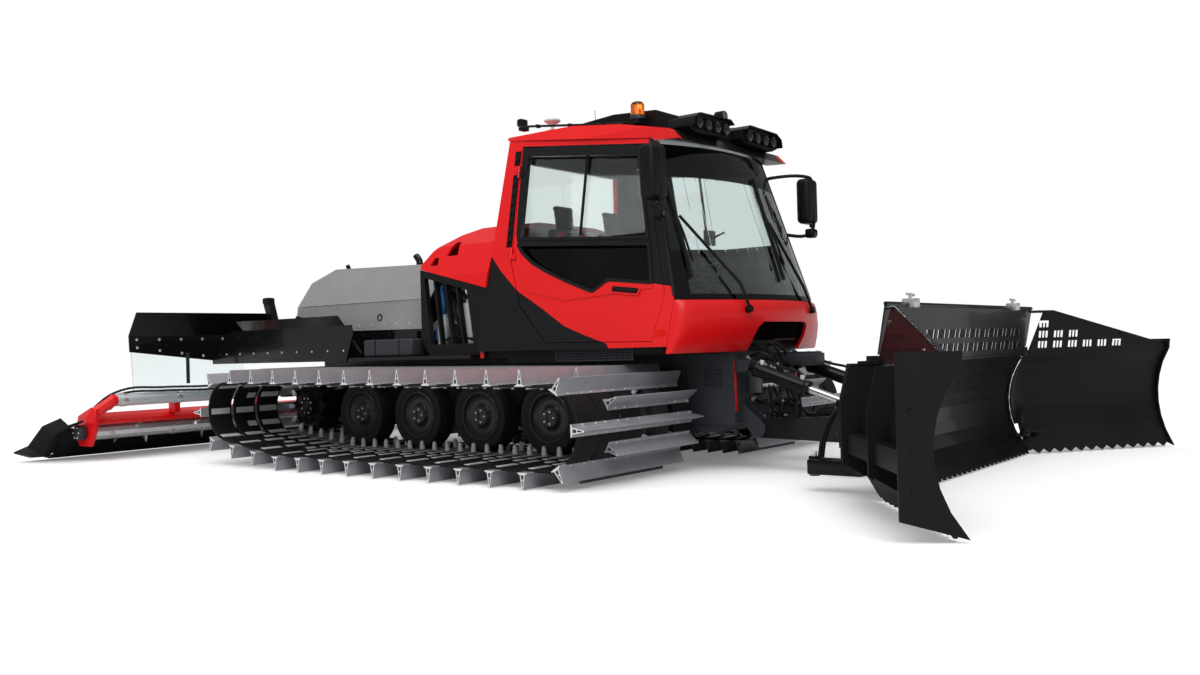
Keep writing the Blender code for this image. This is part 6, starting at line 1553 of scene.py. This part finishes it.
def make_seats():
    cushion_part = puffed(bevelled(panel(CUSHION, "xz", (-0.235, 0.235)), 0.02, 3), 0.012)
    back_part = puffed(bevelled(panel(BACKREST, "xz", (-0.215, 0.215)), 0.018, 3), 0.012)
    rest_part = puffed(bevelled(panel(HEADREST, "xz", (-0.11, 0.11)), 0.015, 3), 0.008)
    for word, y in SEATS:
        place = Matrix.Translation((0, y, SEAT_FLOOR))
        for part, title, fill in (
            (cushion_part, "cushion", 0.6), (back_part, "backrest", 0.6), (rest_part, "headrest", 0.6),
        ):
            pad = copied(part, place)
            finished(pad, "%s_%s" % (title, word), "root", "seat_cloth", (), 60)
        pieces = []
        base = block((0.72, 1.02), (y - 0.16, y + 0.16), (SEAT_FLOOR, SEAT_FLOOR + 0.31), 0.02)
        pieces.append(painted(base, "black_plastic"))
        pieces.append(painted(block((0.72, 1.14), (y - 0.13, y + 0.13),
            (SEAT_FLOOR + 0.425, SEAT_FLOOR + 0.436), 0.005), "red_cloth"))
        for side in (-1, 1):
            post = rod((0.565, y + side * 0.05, SEAT_FLOOR + 0.98),
                (0.55, y + side * 0.05, SEAT_FLOOR + 1.05), 0.007, 10)
            pieces.append(painted(post, "bright_steel"))
            strip = panel((
                (0.752, 0.45), (0.757, 0.45), (0.634, 0.98), (0.628, 0.98)
            ), "xz", sorted((y + side * 0.10, y + side * 0.19)))
            pieces.append(painted(moved(strip, Matrix.Translation((0.004, 0, SEAT_FLOOR))), "red_cloth"))
        nodes = ("seat_" + word,)
        finished(joined(pieces), "seat_frame_" + word, "root", None, nodes)
    for part in (cushion_part, back_part, rest_part):
        bpy.data.objects.remove(part)


def make_console():
    arm = block((0.74, 1.10), (0.555, 0.645), (SEAT_FLOOR + 0.56, SEAT_FLOOR + 0.62), 0.02, 3)
    post = block((0.80, 0.90), (0.57, 0.63), (SEAT_FLOOR + 0.30, SEAT_FLOOR + 0.57), 0.01)
    stick = rod((1.05, 0.60, SEAT_FLOOR + 0.62), (1.07, 0.60, SEAT_FLOOR + 0.72), 0.010, 12)
    grip = rod((1.068, 0.60, SEAT_FLOOR + 0.70), (1.085, 0.60, SEAT_FLOOR + 0.80), 0.022, 16, 0.010)
    screen = block((1.30, 1.325), (0.66, 0.84), (1.90, 2.04), 0.008)
    stem = rod((1.33, 0.78, 1.97), (1.40, 0.86, 2.02), 0.010, 10)
    rear = block((0.30, 0.42), (-0.85, 0.85), (SEAT_FLOOR, SEAT_FLOOR + 0.45), 0.02)
    pieces = [painted(piece, "black_plastic") for piece in (arm, post, stick, grip, screen, stem, rear)]
    finished(joined(pieces), "console", "root", None)


# Stage

CAMERA_PLACE = (6.59, -7.76, 1.0)
CAMERA_YAW = math.radians(52.26)
CAMERA_PITCH = math.radians(0.48)
CAMERA_ROLL = math.radians(-1.64)
CAMERA_LENS = 32.406


def make_camera():
    ahead = Vector((
        -math.cos(CAMERA_YAW) * math.cos(CAMERA_PITCH),
        math.sin(CAMERA_YAW) * math.cos(CAMERA_PITCH),
        math.sin(CAMERA_PITCH),
    ))
    right = Vector((math.sin(CAMERA_YAW), math.cos(CAMERA_YAW), 0))
    up = right.cross(ahead)
    side = right * math.cos(CAMERA_ROLL) + up * math.sin(CAMERA_ROLL)
    top = -right * math.sin(CAMERA_ROLL) + up * math.cos(CAMERA_ROLL)
    data = bpy.data.cameras.new("camera")
    data.lens = CAMERA_LENS
    data.sensor_width = 36
    data.sensor_fit = "HORIZONTAL"
    data.clip_end = 500
    camera = linked("camera", data)
    camera.matrix_world = Matrix((
        (side.x, top.x, -ahead.x, CAMERA_PLACE[0]),
        (side.y, top.y, -ahead.y, CAMERA_PLACE[1]),
        (side.z, top.z, -ahead.z, CAMERA_PLACE[2]),
        (0, 0, 0, 1),
    ))
    bpy.context.scene.camera = camera


def seen_directly(tree):
    """1 where the camera looks, also through glass, and 0 for light that bounces."""
    rays = node(tree, "ShaderNodeLightPath").outputs
    return calc(tree, "MAXIMUM", rays["Is Camera Ray"], rays["Is Transmission Ray"])


def make_world(settings):
    world = bpy.data.worlds.new("studio")
    bpy.context.scene.world = world
    world.use_nodes = True
    tree = world.node_tree
    shader = tree.nodes["Background"]
    place = node(tree, "ShaderNodeTexCoord").outputs["Generated"]
    axes = node(tree, "ShaderNodeSeparateXYZ", (), {"Vector": place})
    ramp = node(tree, "ShaderNodeValToRGB", (), {"Fac": axes.outputs["Z"]})
    stops = ramp.color_ramp.elements
    stops[0].position, stops[0].color = 0.0, (0.62, 0.62, 0.625, 1)
    stops[1].position, stops[1].color = 0.20, (0.07, 0.07, 0.072, 1)
    top = stops.new(0.85)
    top.color = (0.42, 0.42, 0.43, 1)
    light = settings.daylight
    glossy = node(tree, "ShaderNodeLightPath").outputs["Is Glossy Ray"]
    around = blended(tree, glossy, (light, light, light * 1.01), ramp.outputs["Color"])
    tree.links.new(blended(tree, seen_directly(tree), around, (1.0, 1.0, 1.0)), shader.inputs["Color"])


def make_floor():
    deselect()
    bpy.ops.mesh.primitive_circle_add(vertices=64, radius=60, fill_type="NGON", location=(0, 0, 0))
    floor = applied(bpy.context.object)
    floor.name = "floor"
    mat, tree, shader = new_material("floor")
    shader.inputs["Roughness"].default_value = 1.0
    shader.inputs["Specular IOR Level"].default_value = 0.0
    seen = seen_directly(tree)
    tree.links.new(blended(tree, seen, (0.62, 0.62, 0.62), (1.0, 1.0, 1.0)), shader.inputs["Base Color"])
    shader.inputs["Emission Color"].default_value = (1, 1, 1, 1)
    tree.links.new(calc(tree, "MULTIPLY", seen, 0.16), shader.inputs["Emission Strength"])
    FINISHES["floor"] = mat
    painted(floor, "floor")


def make_lamps(settings):
    sun = bpy.data.lights.new("sky", "SUN")
    sun.energy = settings.sun
    sun.angle = math.radians(50)
    sky = linked("sky", sun)
    sky.rotation_euler = Vector((0.25, -0.45, 1.0)).to_track_quat("Z", "Y").to_euler()
    for name, place, aim, size, power in (
        ("front_box", (9.0, -6.0, 6.5), (1.5, 0, 1.2), (5, 3), 180),
        ("side_box", (-3.0, -10.0, 6.0), (-0.5, 0, 1.0), (7, 3), 200),
        ("rear_box", (-8.0, 7.0, 6.0), (0, 0, 1.0), (6, 3), 160),
    ):
        data = bpy.data.lights.new(name, "AREA")
        data.shape = "RECTANGLE"
        data.size, data.size_y = size
        data.energy = power
        box = linked(name, data)
        box.location = place
        box.visible_glossy = name != "side_box"
        box.rotation_euler = (Vector(place) - Vector(aim)).to_track_quat("Z", "Y").to_euler()


# Operators

class GroomerSettings(bpy.types.PropertyGroup):
    paint: FloatVectorProperty(
        name="Body paint", description="Colour of the cab, the shroud and the tiller's cover",
        subtype="COLOR", default=FINISH_TABLE["red_paint"][0], min=0, max=1)
    bars: IntProperty(
        name="Track bars", description="Bars on each track, long and short by turns",
        default=BAR_COUNT, min=30, max=90)
    daylight: FloatProperty(
        name="Sky light", description="Level of the even light round the object", default=0.55, min=0, max=2)
    sun: FloatProperty(
        name="Main light", description="Strength of the soft light from above", default=1.15, min=0, max=6)


class GROOMER_OT_finishes(bpy.types.Operator):
    """Make the paints, metals, rubbers and glass, and put them on the solids"""
    bl_idname = "groomer.finishes"
    bl_label = "Finishes"

    def execute(self, context):
        make_finishes(context.scene.groomer)
        dress_nodes()
        return {"FINISHED"}


class GROOMER_OT_tracks(bpy.types.Operator):
    """Build both tracks: belts, hollow bars, bolts and guide fingers"""
    bl_idname = "groomer.tracks"
    bl_label = "Tracks"

    def execute(self, context):
        make_tracks(context.scene.groomer)
        return {"FINISHED"}


class GROOMER_OT_wheels(bpy.types.Operator):
    """Build the road wheels with their tyres, discs, hubs and axles"""
    bl_idname = "groomer.wheels"
    bl_label = "Road wheels"

    def execute(self, context):
        make_wheels()
        return {"FINISHED"}


class GROOMER_OT_sprockets(bpy.types.Operator):
    """Build the sprockets' discs, rings and bolts"""
    bl_idname = "groomer.sprockets"
    bl_label = "Sprockets"

    def execute(self, context):
        make_sprocket_kit()
        return {"FINISHED"}


class GROOMER_OT_doors(bpy.types.Operator):
    """Build the doors' seals, handles and sliding frames"""
    bl_idname = "groomer.doors"
    bl_label = "Doors"

    def execute(self, context):
        make_doors()
        return {"FINISHED"}


class GROOMER_OT_cab(bpy.types.Operator):
    """Build the louvres, turn lamps, seals and sill grilles"""
    bl_idname = "groomer.cab"
    bl_label = "Cab sides"

    def execute(self, context):
        make_cab_sides()
        return {"FINISHED"}


class GROOMER_OT_front(bpy.types.Operator):
    """Build the nose, the side plates, the valve bank and the hoses before the tub"""
    bl_idname = "groomer.front"
    bl_label = "Front"

    def execute(self, context):
        make_nose()
        make_front_plates()
        make_front_hoses()
        return {"FINISHED"}


class GROOMER_OT_wipers(bpy.types.Operator):
    """Build the wiper blades"""
    bl_idname = "groomer.wipers"
    bl_label = "Wipers"

    def execute(self, context):
        make_wipers()
        return {"FINISHED"}


class GROOMER_OT_roof(bpy.types.Operator):
    """Build the roof's lamps, conduit, whip and search light"""
    bl_idname = "groomer.roof"
    bl_label = "Roof"

    def execute(self, context):
        make_roof_kit()
        return {"FINISHED"}


class GROOMER_OT_beacons(bpy.types.Operator):
    """Build the beacons"""
    bl_idname = "groomer.beacons"
    bl_label = "Beacons"

    def execute(self, context):
        make_beacons()
        return {"FINISHED"}


class GROOMER_OT_mirrors(bpy.types.Operator):
    """Build the mirrors with their arms and work lamps"""
    bl_idname = "groomer.mirrors"
    bl_label = "Mirrors"

    def execute(self, context):
        make_mirrors()
        return {"FINISHED"}


class GROOMER_OT_antenna(bpy.types.Operator):
    """Build the dish on the roof"""
    bl_idname = "groomer.antenna"
    bl_label = "Antenna"

    def execute(self, context):
        make_antenna()
        return {"FINISHED"}


class GROOMER_OT_hood(bpy.types.Operator):
    """Build the hood's exhaust, buffers, ring and seams"""
    bl_idname = "groomer.hood"
    bl_label = "Hood"

    def execute(self, context):
        make_hood_kit()
        return {"FINISHED"}


class GROOMER_OT_engine(bpy.types.Operator):
    """Build the engine's fittings, filters and hoses"""
    bl_idname = "groomer.engine"
    bl_label = "Engine"

    def execute(self, context):
        make_engine()
        return {"FINISHED"}


class GROOMER_OT_deck(bpy.types.Operator):
    """Build the flap bolts, straps, side boxes and deck hoses"""
    bl_idname = "groomer.deck"
    bl_label = "Deck"

    def execute(self, context):
        make_deck_kit()
        return {"FINISHED"}


class GROOMER_OT_blade(bpy.types.Operator):
    """Build the blade's guard bars, clamps, arms, bolts and hoses"""
    bl_idname = "groomer.blade"
    bl_label = "Blade"

    def execute(self, context):
        make_blade_kit()
        make_wing_kits()
        return {"FINISHED"}


class GROOMER_OT_lift(bpy.types.Operator):
    """Build the lift cylinders' collars, ports and lines"""
    bl_idname = "groomer.lift"
    bl_label = "Lift cylinders"

    def execute(self, context):
        make_lift_kit()
        return {"FINISHED"}


class GROOMER_OT_tiller(bpy.types.Operator):
    """Build the tiller's tube sleeve, bands, hoses and motors"""
    bl_idname = "groomer.tiller"
    bl_label = "Tiller"

    def execute(self, context):
        make_tiller_kit()
        make_finisher_kit()
        return {"FINISHED"}


class GROOMER_OT_seats(bpy.types.Operator):
    """Build both seats with soft pads, and the console"""
    bl_idname = "groomer.seats"
    bl_label = "Seats"

    def execute(self, context):
        make_seats()
        make_console()
        return {"FINISHED"}


class GROOMER_OT_stage(bpy.types.Operator):
    """Set up the floor, the light and the camera"""
    bl_idname = "groomer.stage"
    bl_label = "Stage"

    def execute(self, context):
        make_camera()
        make_world(context.scene.groomer)
        make_floor()
        make_lamps(context.scene.groomer)
        context.scene.view_settings.view_transform = "Standard"
        return {"FINISHED"}


STEPS = (
    GROOMER_OT_finishes,
    GROOMER_OT_tracks,
    GROOMER_OT_wheels,
    GROOMER_OT_sprockets,
    GROOMER_OT_doors,
    GROOMER_OT_cab,
    GROOMER_OT_front,
    GROOMER_OT_wipers,
    GROOMER_OT_roof,
    GROOMER_OT_beacons,
    GROOMER_OT_mirrors,
    GROOMER_OT_antenna,
    GROOMER_OT_hood,
    GROOMER_OT_engine,
    GROOMER_OT_deck,
    GROOMER_OT_blade,
    GROOMER_OT_lift,
    GROOMER_OT_tiller,
    GROOMER_OT_seats,
    GROOMER_OT_stage,
)


class GROOMER_PT_panel(bpy.types.Panel):
    """Lists the steps and the sizes and colours to change"""
    bl_label = "Snow groomer"
    bl_space_type = "VIEW_3D"
    bl_region_type = "UI"
    bl_category = "Groomer"

    def draw(self, context):
        for name in GroomerSettings.__annotations__:
            self.layout.prop(context.scene.groomer, name)
        for step in STEPS:
            self.layout.operator(step.bl_idname)


CLASSES = (GroomerSettings, *STEPS, GROOMER_PT_panel)


def register():
    for item in CLASSES:
        bpy.utils.register_class(item)
    bpy.types.Scene.groomer = PointerProperty(type=GroomerSettings)


def unregister():
    del bpy.types.Scene.groomer
    for item in reversed(CLASSES):
        bpy.utils.unregister_class(item)


def main():
    register()
    for step in STEPS:
        group, name = step.bl_idname.split(".")
        getattr(getattr(bpy.ops, group), name)()


if __name__ == "__main__":
    main()
